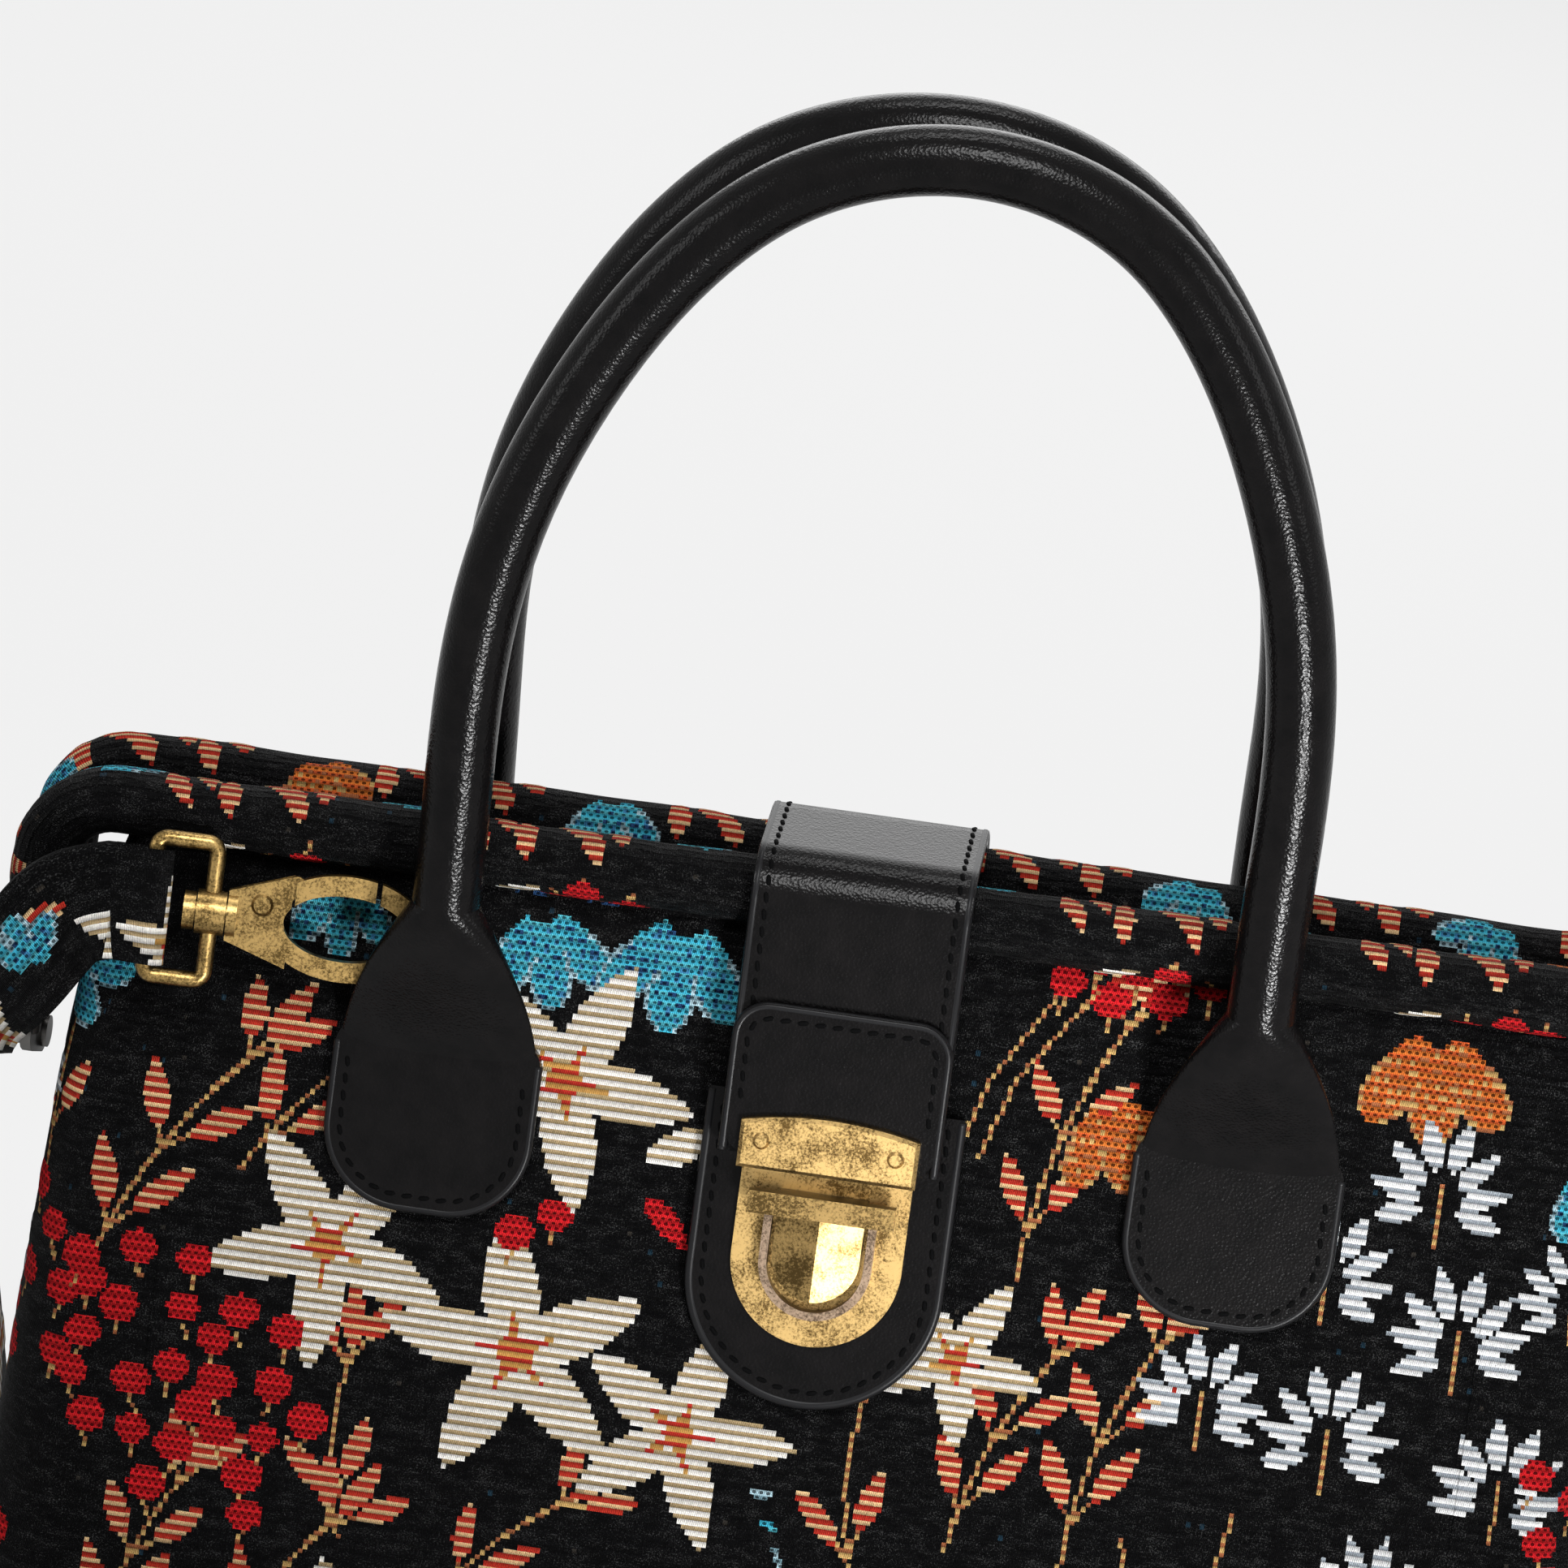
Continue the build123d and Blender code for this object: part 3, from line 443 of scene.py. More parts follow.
def cloth_material():
    """Woven chenille: yarn colours from the mesh with painted shade and highlights across the ribs and
    painted sheen on the ground's pile tips; clean ribs in figures, broken ones in the ground.
    """
    material, tree, bsdf = shader("tapestry")
    add, times, sine = arithmetic(tree)
    yarn = add_node(tree, "ShaderNodeVertexColor", layer_name="yarn")
    rows = add_node(tree, "ShaderNodeUVMap", uv_map="rows")
    grey = tree.nodes.new("ShaderNodeRGBToBW")
    tree.links.new(yarn.outputs["Color"], grey.inputs["Color"])
    figure = spread(tree, grey.outputs["Val"], 0.012, 0.04)
    ground = math_node(tree, "SUBTRACT", 1.0, figure)
    tufts = cloth_noise(tree, rows, (0.42, 0.9, 1), 3.0)
    lumps = cloth_noise(tree, rows, (0.75, 1.6, 1), 3.0)
    fuzz = cloth_noise(tree, rows, (2.2, 5.0, 1), 4.0)
    ends = cloth_noise(tree, rows, (5.2, 6.6, 1), 2.0)
    split = tree.nodes.new("ShaderNodeSeparateXYZ")
    tree.links.new(rows.outputs["UV"], split.inputs["Vector"])
    along, row = split.outputs["X"], split.outputs["Y"]
    # Ribs, which wander in the ground, and the twist of the yarn on them; besides the bump, they paint
    # shade into the colour at each row's edges and a painted highlight along its crest and along the
    # twist
    sway = times(math_node(tree, "SUBTRACT", tufts, 0.5), times(ground, 1.3))
    part = math_node(tree, "FRACT", add(row, sway))
    rib = sine(times(part, math.pi))
    twist = sine(times(add(times(along, 5.2), part), 2 * math.pi))
    # Painted shade and highlight across each rib and along its twist, times the pile's fuzz
    painted_rib_light_and_net = add(add(times(rib, 0.55), 0.52), times(twist, 0.10))
    painted_rib_light_and_net = times(painted_rib_light_and_net, add(fuzz, 0.45))
    # The net of holes, half a hole further along in every other row
    half_row = times(row, 2.0)
    across = add(times(along, 1.4), times(math_node(tree, "FLOOR", half_row), 0.5))
    hole = sine(times(math_node(tree, "FRACT", across), math.pi))
    hole = times(hole, sine(times(math_node(tree, "FRACT", half_row), math.pi)))
    netted = math_node(tree, "SUBTRACT", 1.0, yarn.outputs["Alpha"])
    hole = times(math_node(tree, "GREATER_THAN", hole, 0.62), netted)
    painted_rib_light_and_net = times(painted_rib_light_and_net, math_node(tree, "SUBTRACT", 1.0, times(hole, 0.82)))
    # Painted sheen: pale light added to the colour on the tips of the pile on the ground
    painted_tip_sheen = spread(tree, times(ends, add(tufts, 0.55)), 0.58, 0.78, 0.05)
    colour = mixed(tree, "MULTIPLY", yarn.outputs["Color"], painted_rib_light_and_net)
    colour = mixed(tree, "ADD", colour, times(painted_tip_sheen, ground))
    tree.links.new(colour, bsdf.inputs["Base Color"])
    height = add(rib, times(times(lumps, ground), 2.6))
    height = add(add(height, times(fuzz, 1.1)), times(twist, 0.22))
    bump(tree, bsdf, height, 1.0, 0.0007)
    bsdf.inputs["Roughness"].default_value = 0.6
    bsdf.inputs["Sheen Weight"].default_value = 0.01
    bsdf.inputs["Sheen Roughness"].default_value = 0.4
    bsdf.inputs["Specular IOR Level"].default_value = 0.02
    return material


def leather_material():
    """Black leather with a fine grain and a satin shine."""
    material, tree, bsdf = shader("leather")
    add, times, _ = arithmetic(tree)
    place = add_node(tree, "ShaderNodeTexCoord")
    grain = add_node(tree, "ShaderNodeTexVoronoi", Scale=1600.0)
    pores = add_node(tree, "ShaderNodeTexNoise", Scale=2600.0, Detail=3.0)
    folds = add_node(tree, "ShaderNodeTexNoise", Scale=160.0, Detail=5.0, Roughness=0.65)
    for texture in (grain, pores, folds):
        tree.links.new(place.outputs["Object"], texture.inputs["Vector"])
    height = add(grain.outputs["Distance"], times(pores.outputs["Fac"], 0.5))
    height = add(height, times(folds.outputs["Fac"], 0.8))
    bump(tree, bsdf, height, 0.42, 0.00013)
    dark, light = (0.0016, 0.0015, 0.0016), (0.0042, 0.0037, 0.0038)
    tree.links.new(ramp(tree, folds.outputs["Fac"], 0.3, 0.75, dark, light), bsdf.inputs["Base Color"])
    tree.links.new(add(times(pores.outputs["Fac"], 0.14), 0.125), bsdf.inputs["Roughness"])
    bsdf.inputs["Specular IOR Level"].default_value = 0.09
    return material


def brass_material(name, dark, light):
    """Antique brass: bright where it is rubbed, with dark specks of patina, thicker in places."""
    material, tree, bsdf = shader(name)
    add, times, _ = arithmetic(tree)
    place = add_node(tree, "ShaderNodeTexCoord")
    specks = add_node(tree, "ShaderNodeTexNoise", Scale=1900.0, Detail=4.0, Roughness=0.75)
    clouds = add_node(tree, "ShaderNodeTexNoise", Scale=130.0, Detail=4.0, Roughness=0.6)
    for texture in (specks, clouds):
        tree.links.new(place.outputs["Object"], texture.inputs["Vector"])
    wear = add(add(times(specks.outputs["Fac"], 0.6), -0.05), times(clouds.outputs["Fac"], 0.5))
    tree.links.new(ramp(tree, wear, 0.42, 0.55, dark, light), bsdf.inputs["Base Color"])
    bsdf.inputs["Metallic"].default_value = 1.0
    tree.links.new(add(times(specks.outputs["Fac"], 0.24), 0.22), bsdf.inputs["Roughness"])
    bump(tree, bsdf, specks.outputs["Fac"], 0.25, 0.0001)
    return material


def plain_material(name, colour, roughness, metallic=0.0, shine=0.5):
    """A single colour."""
    material, _, bsdf = shader(name)
    bsdf.inputs["Base Color"].default_value = (*colour, 1)
    bsdf.inputs["Roughness"].default_value = roughness
    bsdf.inputs["Metallic"].default_value = metallic
    bsdf.inputs["Specular IOR Level"].default_value = shine
    return material


CLOTH = cloth_material()
LEATHER = leather_material()
BRASS = brass_material("antique_brass", (0.09, 0.054, 0.017), (0.50, 0.335, 0.13))
DARK_BRASS = brass_material("dark_brass", (0.07, 0.044, 0.015), (0.34, 0.225, 0.085))
WORN_BRASS = brass_material("worn_brass", (0.08, 0.055, 0.036), (0.30, 0.215, 0.15))
HOOK_BRASS = brass_material("hook_brass", (0.07, 0.044, 0.014), (0.31, 0.205, 0.075))
STEEL = plain_material("steel", (0.12, 0.115, 0.11), 0.4, 1.0)
EDGE = plain_material("edge_paint", (0.006, 0.006, 0.0066), 0.36, shine=0.12)
BOARD = plain_material("board", (0.03, 0.03, 0.03), 0.8)
THREAD = plain_material("thread", (0.0012, 0.0012, 0.0013), 0.8, shine=0.03)
PLAIN_CLOTH = plain_material("plain_cloth", (0.006, 0.006, 0.0068), 0.9, shine=0.05)
by_slot = {"tapestry": PLAIN_CLOTH, "leather": LEATHER, "brass": BRASS, "steel": STEEL, "board": BOARD}
by_node = {"lock_thumb": DARK_BRASS, "lock_rim": WORN_BRASS}
for fitting in ("hook", "hook_gate", "gate_pin", "swivel_ring", "anchor_ring"):
    by_node["left_" + fitting] = by_node["right_" + fitting] = HOOK_BRASS
for part in frame["record"]["subparts"]:
    mesh = nodes[part["node"]].data
    mesh.materials.clear()
    mesh.materials.append(by_node.get(part["node"], by_slot[part["material_slot"]]))


# Meshes
def new_piece(name, vertices, faces, material, body):
    """A mesh piece from points in millimetres, riding on a body."""
    mesh = bpy.data.meshes.new(name)
    mesh.from_pydata((np.asarray(vertices, float) / 1000.0).tolist(), [], faces)
    mesh.materials.append(material)
    mesh.polygons.foreach_set("use_smooth", [True] * len(mesh.polygons))
    mesh.update()
    obj = bpy.data.objects.new(name, mesh)
    bpy.context.scene.collection.objects.link(obj)
    if body:
        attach(obj, body)
    return obj


def grid_faces(rows, columns, wrap=False):
    """Quads of a grid of points with that many rows and columns, or round a tube of rings."""
    r, c = np.meshgrid(np.arange(rows - 1), np.arange(columns if wrap else columns - 1), indexing="ij")
    n = (c + 1) % columns
    quads = np.stack([r * columns + c, (r + 1) * columns + c, (r + 1) * columns + n, r * columns + n], -1)
    return quads.reshape(-1, 4).tolist()


def row_steps(length):
    """The weave's row edges along a length: a broad row of the main yarn, then a narrow one."""
    count = int(length / ROW)
    edges = []
    for k in range(count):
        edges += [k * ROW, (k + MAIN_SHARE) * ROW]
    edges = np.array(edges + [count * ROW])
    return edges * (length / edges[-1])


def woven(name, places, normals, u, v, paint, body, replaced):
    """Cloth on a grid of places; u and v are the cloth's own coordinates at the grid's points.
    Rows of the grid are rows of the weave, in turn broad and narrow."""
    rows, columns = u.shape
    mid_u = (u[:-1, :-1] + u[1:, 1:]) / 2
    mid_v = (v[:-1, :-1] + v[1:, 1:]) / 2
    field = Field(mid_u, mid_v)
    paint(field)
    narrow = np.zeros(field.kind.shape, int)
    narrow[1::2] = 1
    table = np.array([YARN[k] for k in range(len(YARN))])
    colour = table[field.kind, narrow]
    colour = colour * (0.94 + 0.12 * rng.random(field.kind.shape))[..., None]
    colour = colour * (0.86 + 0.28 * rng.random((field.kind.shape[0], 1)))[..., None]
    lift = RELIEF[field.kind] * np.where(narrow == 1, 0.5, 1.0)
    around = np.pad(lift, 1, "edge")
    point_lift = (around[:-1, :-1] + around[1:, :-1] + around[:-1, 1:] + around[1:, 1:]) / 4
    points = places + normals * (point_lift - RELIEF.max() - SEW_GAP)[..., None]
    faces = grid_faces(rows, columns)
    obj = new_piece(name, points.reshape(-1, 3), faces, CLOTH, body)
    mesh = obj.data
    corner = np.ones((len(faces), 4, 4), np.float32)
    corner[..., :3] = colour.reshape(-1, 1, 3)
    corner[..., 3] = np.where(np.isin(field.kind, NETTED), 0.0, 1.0).reshape(-1, 1)
    mesh.color_attributes.new("yarn", "FLOAT_COLOR", "CORNER").data.foreach_set("color", corner.ravel())
    cu = np.stack([u[:-1, :-1], u[1:, :-1], u[1:, 1:], u[:-1, 1:]], -1)
    row = np.arange(rows) / 2.0
    low = np.broadcast_to(row[:-1, None], mid_u.shape)
    cv = np.stack([low, low + 0.5, low + 0.5, low], -1)
    uv = np.stack([cu / ROW, cv], -1).astype(np.float32)
    mesh.uv_layers.new(name="rows").data.foreach_set("uv", uv.ravel())
    if replaced:
        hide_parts(*replaced)
    return obj


def soft_waves(u, v):
    """Slow hollows of slack cloth, never proud of the seam line."""
    wave = np.sin(u / 31.0 + 0.7) * np.sin(v / 23.0 + 0.4) + 0.6 * np.sin(u / 13.0 + v / 19.0)
    return -WAVE_DEPTH * (1.0 + wave / 1.6) / 2.0


# The cloth runs a little way up under the rolls
TUCK = 1.6
PANEL_DROP = (PANEL_TOP - BOTTOM_Z) / COS + TUCK
drops = row_steps(PANEL_DROP) - TUCK
FRONT_OUT = np.array([0.0, -COS, SIN])


def flat_panel(name, replaced, cell, turned, shift):
    """The front or back panel."""
    across = np.linspace(-SEAM_X, SEAM_X, int(2 * SEAM_X / cell) + 1)
    x, d = np.meshgrid(across, drops)
    places = on_front(x, d, soft_waves(x + shift, d))
    normals = np.broadcast_to(FRONT_OUT, places.shape)
    if turned:
        places, normals = half_turn(places), half_turn(normals)
    piece = woven(name, places, normals, x + shift, d, paint_body, "bag", [replaced])


def outline_at(z, count):
    """Points round one end of the body at height z, front seam to back seam, and lengths so far."""
    half = (BASE_LENGTH + (TOP_LENGTH - BASE_LENGTH) * z / PANEL_TOP) / 2
    deep = (BASE_DEPTH + (TOP_DEPTH - BASE_DEPTH) * z / PANEL_TOP) / 2
    r = BASE_CORNER + (TOP_CORNER - BASE_CORNER) * z / PANEL_TOP
    path = [(-SEAM_X, -deep)]
    for a in np.linspace(-math.pi / 2, -math.pi, 14):
        path.append((-half + r + r * math.cos(a), -deep + r + r * math.sin(a)))
    for a in np.linspace(math.pi, math.pi / 2, 14):
        path.append((-half + r + r * math.cos(a), deep - r + r * math.sin(a)))
    path.append((-SEAM_X, deep))
    path = np.array(path)
    so_far = distances(path)
    at = np.linspace(0, so_far[-1], count)
    return read_at(at, so_far, path), at


def gusset(name, replaced, turned):
    """One end of the body, folded in a little along its middle."""
    heights = PANEL_TOP - drops * COS
    columns = int(2 * (BASE_DEPTH / 2 + 30) / GUSSET_CELL)
    places, run = [], []
    for z in heights:
        points, at = outline_at(z, columns)
        places.append(np.column_stack([points, np.full(columns, z)]))
        run.append(at)
    places, run = np.array(places), np.array(run)
    fold = FOLD_DEPTH * np.exp(-((places[..., 1] / FOLD_WIDE) ** 2))
    places[..., 0] += fold * np.clip(places[..., 2] / PANEL_TOP, 0, 1) ** 2
    along = np.gradient(places, axis=1)
    down = np.gradient(places, axis=0)
    normals = unit(np.cross(down, along))
    if normals[len(normals) // 2, columns // 2, 0] > 0:
        normals = -normals
    if turned:
        places, normals = half_turn(places), half_turn(normals)
    u = SEAM_X + run[:, -1:] - run if turned else -SEAM_X - run
    v = np.broadcast_to(drops[:, None], u.shape)
    piece = woven(name, places, normals, u, v, paint_body, "bag", [replaced])


flat_panel("front_cloth", "front_panel", FINE_CELL, False, 0.0)
flat_panel("back_cloth", "back_panel", BACK_CELL, True, REPEAT / 2)
gusset("left_end_cloth", "left_gusset", False)
gusset("right_end_cloth", "right_gusset", True)


# Mouth rolls
def filleted(points, radius, steps=10):
    """A polyline in a plane with its inner corners rounded."""
    points = [np.array(p, float) for p in points]
    out = [points[0]]
    for before, corner, after in zip(points[:-2], points[1:-1], points[2:]):
        a, b = unit(before - corner), unit(after - corner)
        half = math.acos(np.clip(a @ b, -1, 1)) / 2
        reach = radius / math.tan(half)
        centre = corner + unit(a + b) * radius / math.sin(half)
        start, end = corner + a * reach - centre, corner + b * reach - centre
        sweep = math.acos(np.clip(start @ end / radius**2, -1, 1))
        for t in np.linspace(0, 1, steps):
            turned = math.sin((1 - t) * sweep) * start + math.sin(t * sweep) * end
            out.append(centre + turned / math.sin(sweep))
    return np.array(out + [points[-1]])


def evenly(path, step):
    """Points at even steps along a path, and their distances from its start."""
    so_far = distances(path)
    at = np.linspace(0, so_far[-1], max(2, int(round(so_far[-1] / step)) + 1))
    return read_at(at, so_far, path), at


def leg_x(z):
    """Where a roll's leg runs outside the body."""
    z = min(z, PANEL_TOP)
    return (BASE_LENGTH + (TOP_LENGTH - BASE_LENGTH) * z / PANEL_TOP) / 2 + BINDING_SIDE + BINDING_R


def roll(name, replaced, turned, shift):
    """A cloth roll over one half of the mouth frame."""
    low = BINDING_Z - BINDING_LEG
    foot, corner = leg_x(low), leg_x(BINDING_Z)
    corners = [(-foot, low), (-corner, BINDING_Z), (corner, BINDING_Z), (foot, low)]
    path, at = evenly(filleted(corners, BINDING_CORNER), FINE_CELL)
    along = unit(np.gradient(path, axis=0))
    side = np.stack([-along[:, 1], along[:, 0]], -1)
    turns = row_steps(2 * math.pi * BINDING_R)[:-1] / BINDING_R
    lump = 1.0 - 0.035 * (1 + np.sin(at / 17.0) * np.sin(at / 7.3 + 1))
    taper = 1 - 0.25 * np.clip(1 - np.minimum(at, at[-1] - at) / 6.0, 0, 1) ** 2
    ring = np.array([[math.cos(a), math.sin(a)] for a in turns])
    normals = np.zeros((len(turns), len(path), 3))
    normals[..., 0] = ring[:, 1, None] * side[:, 0]
    normals[..., 2] = ring[:, 1, None] * side[:, 1]
    normals[..., 1] = -ring[:, 0, None]
    centre = np.column_stack([path[:, 0], np.full(len(path), -BINDING_Y), path[:, 1]])
    places = centre + normals * (BINDING_R * lump * taper)[None, :, None]
    u = np.broadcast_to(at - at[-1] / 2 + shift, normals.shape[:2])
    v = np.broadcast_to((turns * BINDING_R)[:, None], normals.shape[:2])
    if turned:
        places, normals = half_turn(places), half_turn(normals)
    places, normals, u = (np.concatenate([g, g[:1]], 0) for g in (places, normals, u))
    v = np.concatenate([v, np.full((1, len(path)), 2 * math.pi * BINDING_R)], 0)
    piece = woven(name, places, normals, u, v, paint_roll, "bag", [replaced])


roll("front_roll", "front_binding", False, 0.0)
roll("back_roll", "back_binding", True, 31.0)

# Shoulder strap: cloth folded round each swivel ring's bar, then slack to the floor behind the bag
TILT = math.radians(8.0)
HOOK_AT = on_front(-129.5, 12.0, 11.4)
HOOK_X = np.array([math.cos(TILT), COS * math.sin(TILT), -SIN * math.sin(TILT)])
HOOK_Z = np.array([math.sin(TILT), -COS * math.cos(TILT), SIN * math.cos(TILT)])
HOOK_Y = np.cross(HOOK_Z, HOOK_X)
BAR_X = -15.8
# The strap's underside lies far from the figures on its cloth, on bare ground
UNDERSIDE = 200.0


def on_hook(x, y, z):
    """Points in the hook's own axes."""
    return HOOK_AT + sum(np.multiply.outer(*pair) for pair in ((x, HOOK_X), (y, HOOK_Y), (z, HOOK_Z)))


def strap_loop(name, body, replaced, turned):
    """The strap's end folded round the ring's bar, as a closed form."""
    wrap_r = 4.2
    outline = [(BAR_X - 8.4, 2.2), (BAR_X - 6.0, 2.3)]
    for a in np.linspace(2.3, -2.3, 15):
        outline.append((BAR_X + wrap_r * math.cos(a), wrap_r * math.sin(a)))
    outline += [(BAR_X - 6.0, -2.3), (BAR_X - 8.4, -2.2)]
    path, at = evenly(np.array(outline), 1.0)
    across = row_steps(CARRY_WIDTH) - CARRY_WIDTH / 2
    places = np.array([on_hook(path[:, 0], np.full(len(path), y), path[:, 1]) for y in across])
    normal = unit(np.stack([-np.gradient(path[:, 1]), np.gradient(path[:, 0])], -1))
    normals = np.array([normal[:, :1] * HOOK_X + normal[:, 1:] * HOOK_Z for _ in across])
    if turned:
        places, normals = half_turn(places), half_turn(normals)
    u, v = np.meshgrid(at, across + CARRY_WIDTH / 2)
    woven(name, places, normals, u, v, paint_strap, body, replaced)


def catmull(points, count):
    """A smooth path through points."""
    p = np.concatenate([[2 * points[0] - points[1]], points, [2 * points[-1] - points[-2]]])
    out = []
    for t in np.linspace(0, len(points) - 1, count):
        k = min(int(t), len(points) - 2)
        s = t - k
        a, b, c, d = p[k : k + 4]
        square = 2 * a - 5 * b + 4 * c - d
        cube = 3 * b - a - 3 * c + d
        out.append(0.5 * (2 * b + (c - a) * s + square * s**2 + cube * s**3))
    return np.array(out)


def ribbon(name, stations, body, start_at, cell=1.2, replaced=()):
    """A flat strap through stations, each a place and the direction of the strap's width."""
    places, widths = (catmull(stations[:, i], 240) for i in (0, 1))
    both = np.concatenate([places, widths], 1)
    so_far = distances(places)
    at = np.linspace(0, so_far[-1], int(so_far[-1] / cell) + 1)
    both = read_at(at, so_far, both)
    centre, wide = both[:, :3], both[:, 3:]
    along = unit(np.gradient(centre, axis=0))
    wide = unit(wide - along * np.sum(wide * along, 1)[:, None])
    face = np.cross(wide, along)
    half = CARRY_WIDTH / 2
    edges = row_steps(CARRY_WIDTH)
    section = [(y - half, CARRY_THICK / 2) for y in edges] + [(half + 0.4, 0.0)]
    section += [(half - y, -CARRY_THICK / 2) for y in edges] + [(-half - 0.4, 0.0)]
    section += section[:1]
    lines, normals, v = [], [], []
    for k, (y, z) in enumerate(section):
        lines.append(centre + wide * y + face * z)
        normals.append(face * np.sign(z) if z else wide * np.sign(y))
        v.append(y + half if k <= len(edges) else UNDERSIDE - y)
    u = np.broadcast_to(at + start_at, (len(section), len(at)))
    v = np.broadcast_to(np.array(v)[:, None], u.shape)
    piece = woven(name, np.array(lines), np.array(normals), u, v, paint_strap, body, replaced)
    return piece, so_far[-1]


JOINT = on_hook(BAR_X - 8.5, 0.0, 0.0)
left_stations = np.array([
    [on_hook(BAR_X - 7.5, 0.0, 0.0), HOOK_Y],
    [JOINT, HOOK_Y],
    [JOINT + (-9.0, -2.0, -3.5), (-0.35, 0.1, 0.9)],
    [(-172.0, -31.0, 198.0), (-0.68, 0.05, 0.72)],
    [(-183.0, -24.0, 182.0), (-0.62, -0.45, 0.62)],
    [(-189.0, -6.0, 160.0), (-0.2, -0.85, 0.45)],
    [(-190.5, 14.0, 130.0), (0.0, -0.88, -0.45)],
])
right_stations = half_turn(left_stations)
middle_stations = np.array([
    left_stations[-1],
    [(-190.5, 46.0, 76.0), (0.05, -0.86, -0.5)],
    [(-189.0, 76.0, 28.0), (0.25, -0.86, -0.4)],
    [(-178.0, 98.0, 4.2), (0.75, -0.66, -0.05)],
    [(-140.0, 117.0, 2.8), (0.3, -0.95, 0.0)],
    [(0.0, 119.0, 2.8), (0.0, -1.0, 0.0)],
    [(140.0, 117.0, 2.8), (-0.3, -0.95, 0.0)],
    [(178.0, 98.0, 4.2), (-0.75, -0.66, -0.05)],
    [(190.0, 66.0, 14.0), (-0.6, 0.2, 0.75)],
    [(191.0, 20.0, 32.0), (0.0, 0.5, 0.87)],
    [(191.0, -20.0, 56.0), (0.0, 0.83, 0.55)],
    [(191.0, -30.0, 90.0), (0.0, 1.0, -0.2)],
    right_stations[-1],
])


def strap_end(name, stations):
    """The strap from its ring to where it hangs at the bag's end."""
    piece, length = ribbon(name, stations, None, 20.0)
    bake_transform(piece)


strap_loop("left_strap_fold", "left_swivel", ["left_strap_loop"], False)
strap_loop("right_strap_fold", "right_swivel", ["right_strap_loop"], True)
strap_end("left_strap_end", left_stations)
strap_end("right_strap_end", right_stations)
strap_middle, length = ribbon("strap_middle", middle_stations, "bag", 140.0, 1.6, ["shoulder_strap"])


# Stitching and rolled edges on the leather
def ring_angles(around):
    """Even angles round a ring."""
    return np.arange(around) * 2 * math.pi / around


def closed_faces(rings, around):
    """Faces of a tube of rings, with both its ends."""
    ends = [list(range(around))[::-1], [(rings - 1) * around + k for k in range(around)]]
    return grid_faces(rings, around, wrap=True) + ends


def capsule(length, width, height):
    """A stitch lying along x, as points and faces."""
    around, along = 8, 7
    points = []
    for t in np.linspace(-1, 1, along):
        r = math.sqrt(max(1 - t**4, 0.0)) if abs(t) < 1 else 0.12
        for a in ring_angles(around):
            points.append((t * length / 2, r * width / 2 * math.cos(a), r * height / 2 * math.sin(a)))
    return np.array(points), closed_faces(along, around)


def stitches(name, paths, body, pitch=3.6, length=2.4, width=1.0, height=0.7):
    """Rows of stitches; each path is points and the surface normals there."""
    slope_cos, slope_sin = math.cos(STITCH_SLOPE), math.sin(STITCH_SLOPE)
    shape, shape_faces = capsule(length, width, height)
    vertices, faces = [], []
    for points, normals in paths:
        so_far = distances(points)
        for at in np.arange(pitch / 2, so_far[-1], pitch):
            place, ahead, behind = (read_at(at + step, so_far, points) for step in (0.0, 0.5, -0.5))
            normal = read_at(at, so_far, normals)
            x = unit(ahead - behind)
            y = unit(np.cross(normal, x))
            z = np.cross(x, y)
            x, y = x * slope_cos + y * slope_sin, y * slope_cos - x * slope_sin
            faces += [[k + len(vertices) for k in f] for f in shape_faces]
            vertices += (place + shape @ np.stack([x, y, z])).tolist()
    new_piece(name, vertices, faces, THREAD, body)


def tube(name, points, normals, wide, tall, body):
    """A painted edge: a bead of oval section along a path."""
    around = 10
    along = unit(np.gradient(points, axis=0))
    side = unit(np.cross(normals, along))
    up = np.cross(along, side)
    vertices = []
    for p, s, n in zip(points, side, up):
        for a in ring_angles(around):
            vertices.append(p + s * wide / 2 * math.cos(a) + n * tall / 2 * math.sin(a))
    new_piece(name, vertices, closed_faces(len(points), around), EDGE, body)


def u_path(width, top, low, corner):
    """A path down one side, round a rounded foot and up the other side, in panel coordinates."""
    half = width / 2
    corners = [(-half, top), (-half, low), (half, low), (half, top)]
    return evenly(filleted(corners, min(corner, half - 0.01), 24), EDGE_STEP)[0]


def over_front(path, out, x=0.0):
    """A path on the front panel as points and normals in the bag's frame."""
    points = on_front(path[:, 0] + x, path[:, 1], out)
    return points, np.broadcast_to(FRONT_OUT, points.shape)


tab_seam = u_path(TAB_WIDTH - 6.0, 38.0, TAB_DROP - 3.0, TAB_CORNER - 3.0)
tab_rim = u_path(TAB_WIDTH - 1.0, 35.5, TAB_DROP - 0.5, TAB_CORNER - 0.5)
tab_paths, back_tab_paths = [], []
for k, side in enumerate((-1, 1)):
    front_x, back_x = side * HALF_SPAN, side * HALF_SPAN + BACK_SHIFT
    tab_paths.append(over_front(tab_seam, TAB_THICK + STITCH_LIFT, front_x))
    tube(f"front_tab_edge_{k}", *over_front(tab_rim, TAB_THICK - 0.9, front_x), EDGE_BEAD, 2.1, "bag")
    back_tab_paths.append([half_turn(p) for p in over_front(tab_seam, TAB_THICK + STITCH_LIFT, back_x)])
    back_rim = [half_turn(p) for p in over_front(tab_rim, TAB_THICK - 0.9, back_x)]
    tube(f"back_tab_edge_{k}", *back_rim, EDGE_BEAD, 2.1, "bag")
stitches("front_tab_stitches", tab_paths, "bag")
stitches("back_tab_stitches", back_tab_paths, "bag")


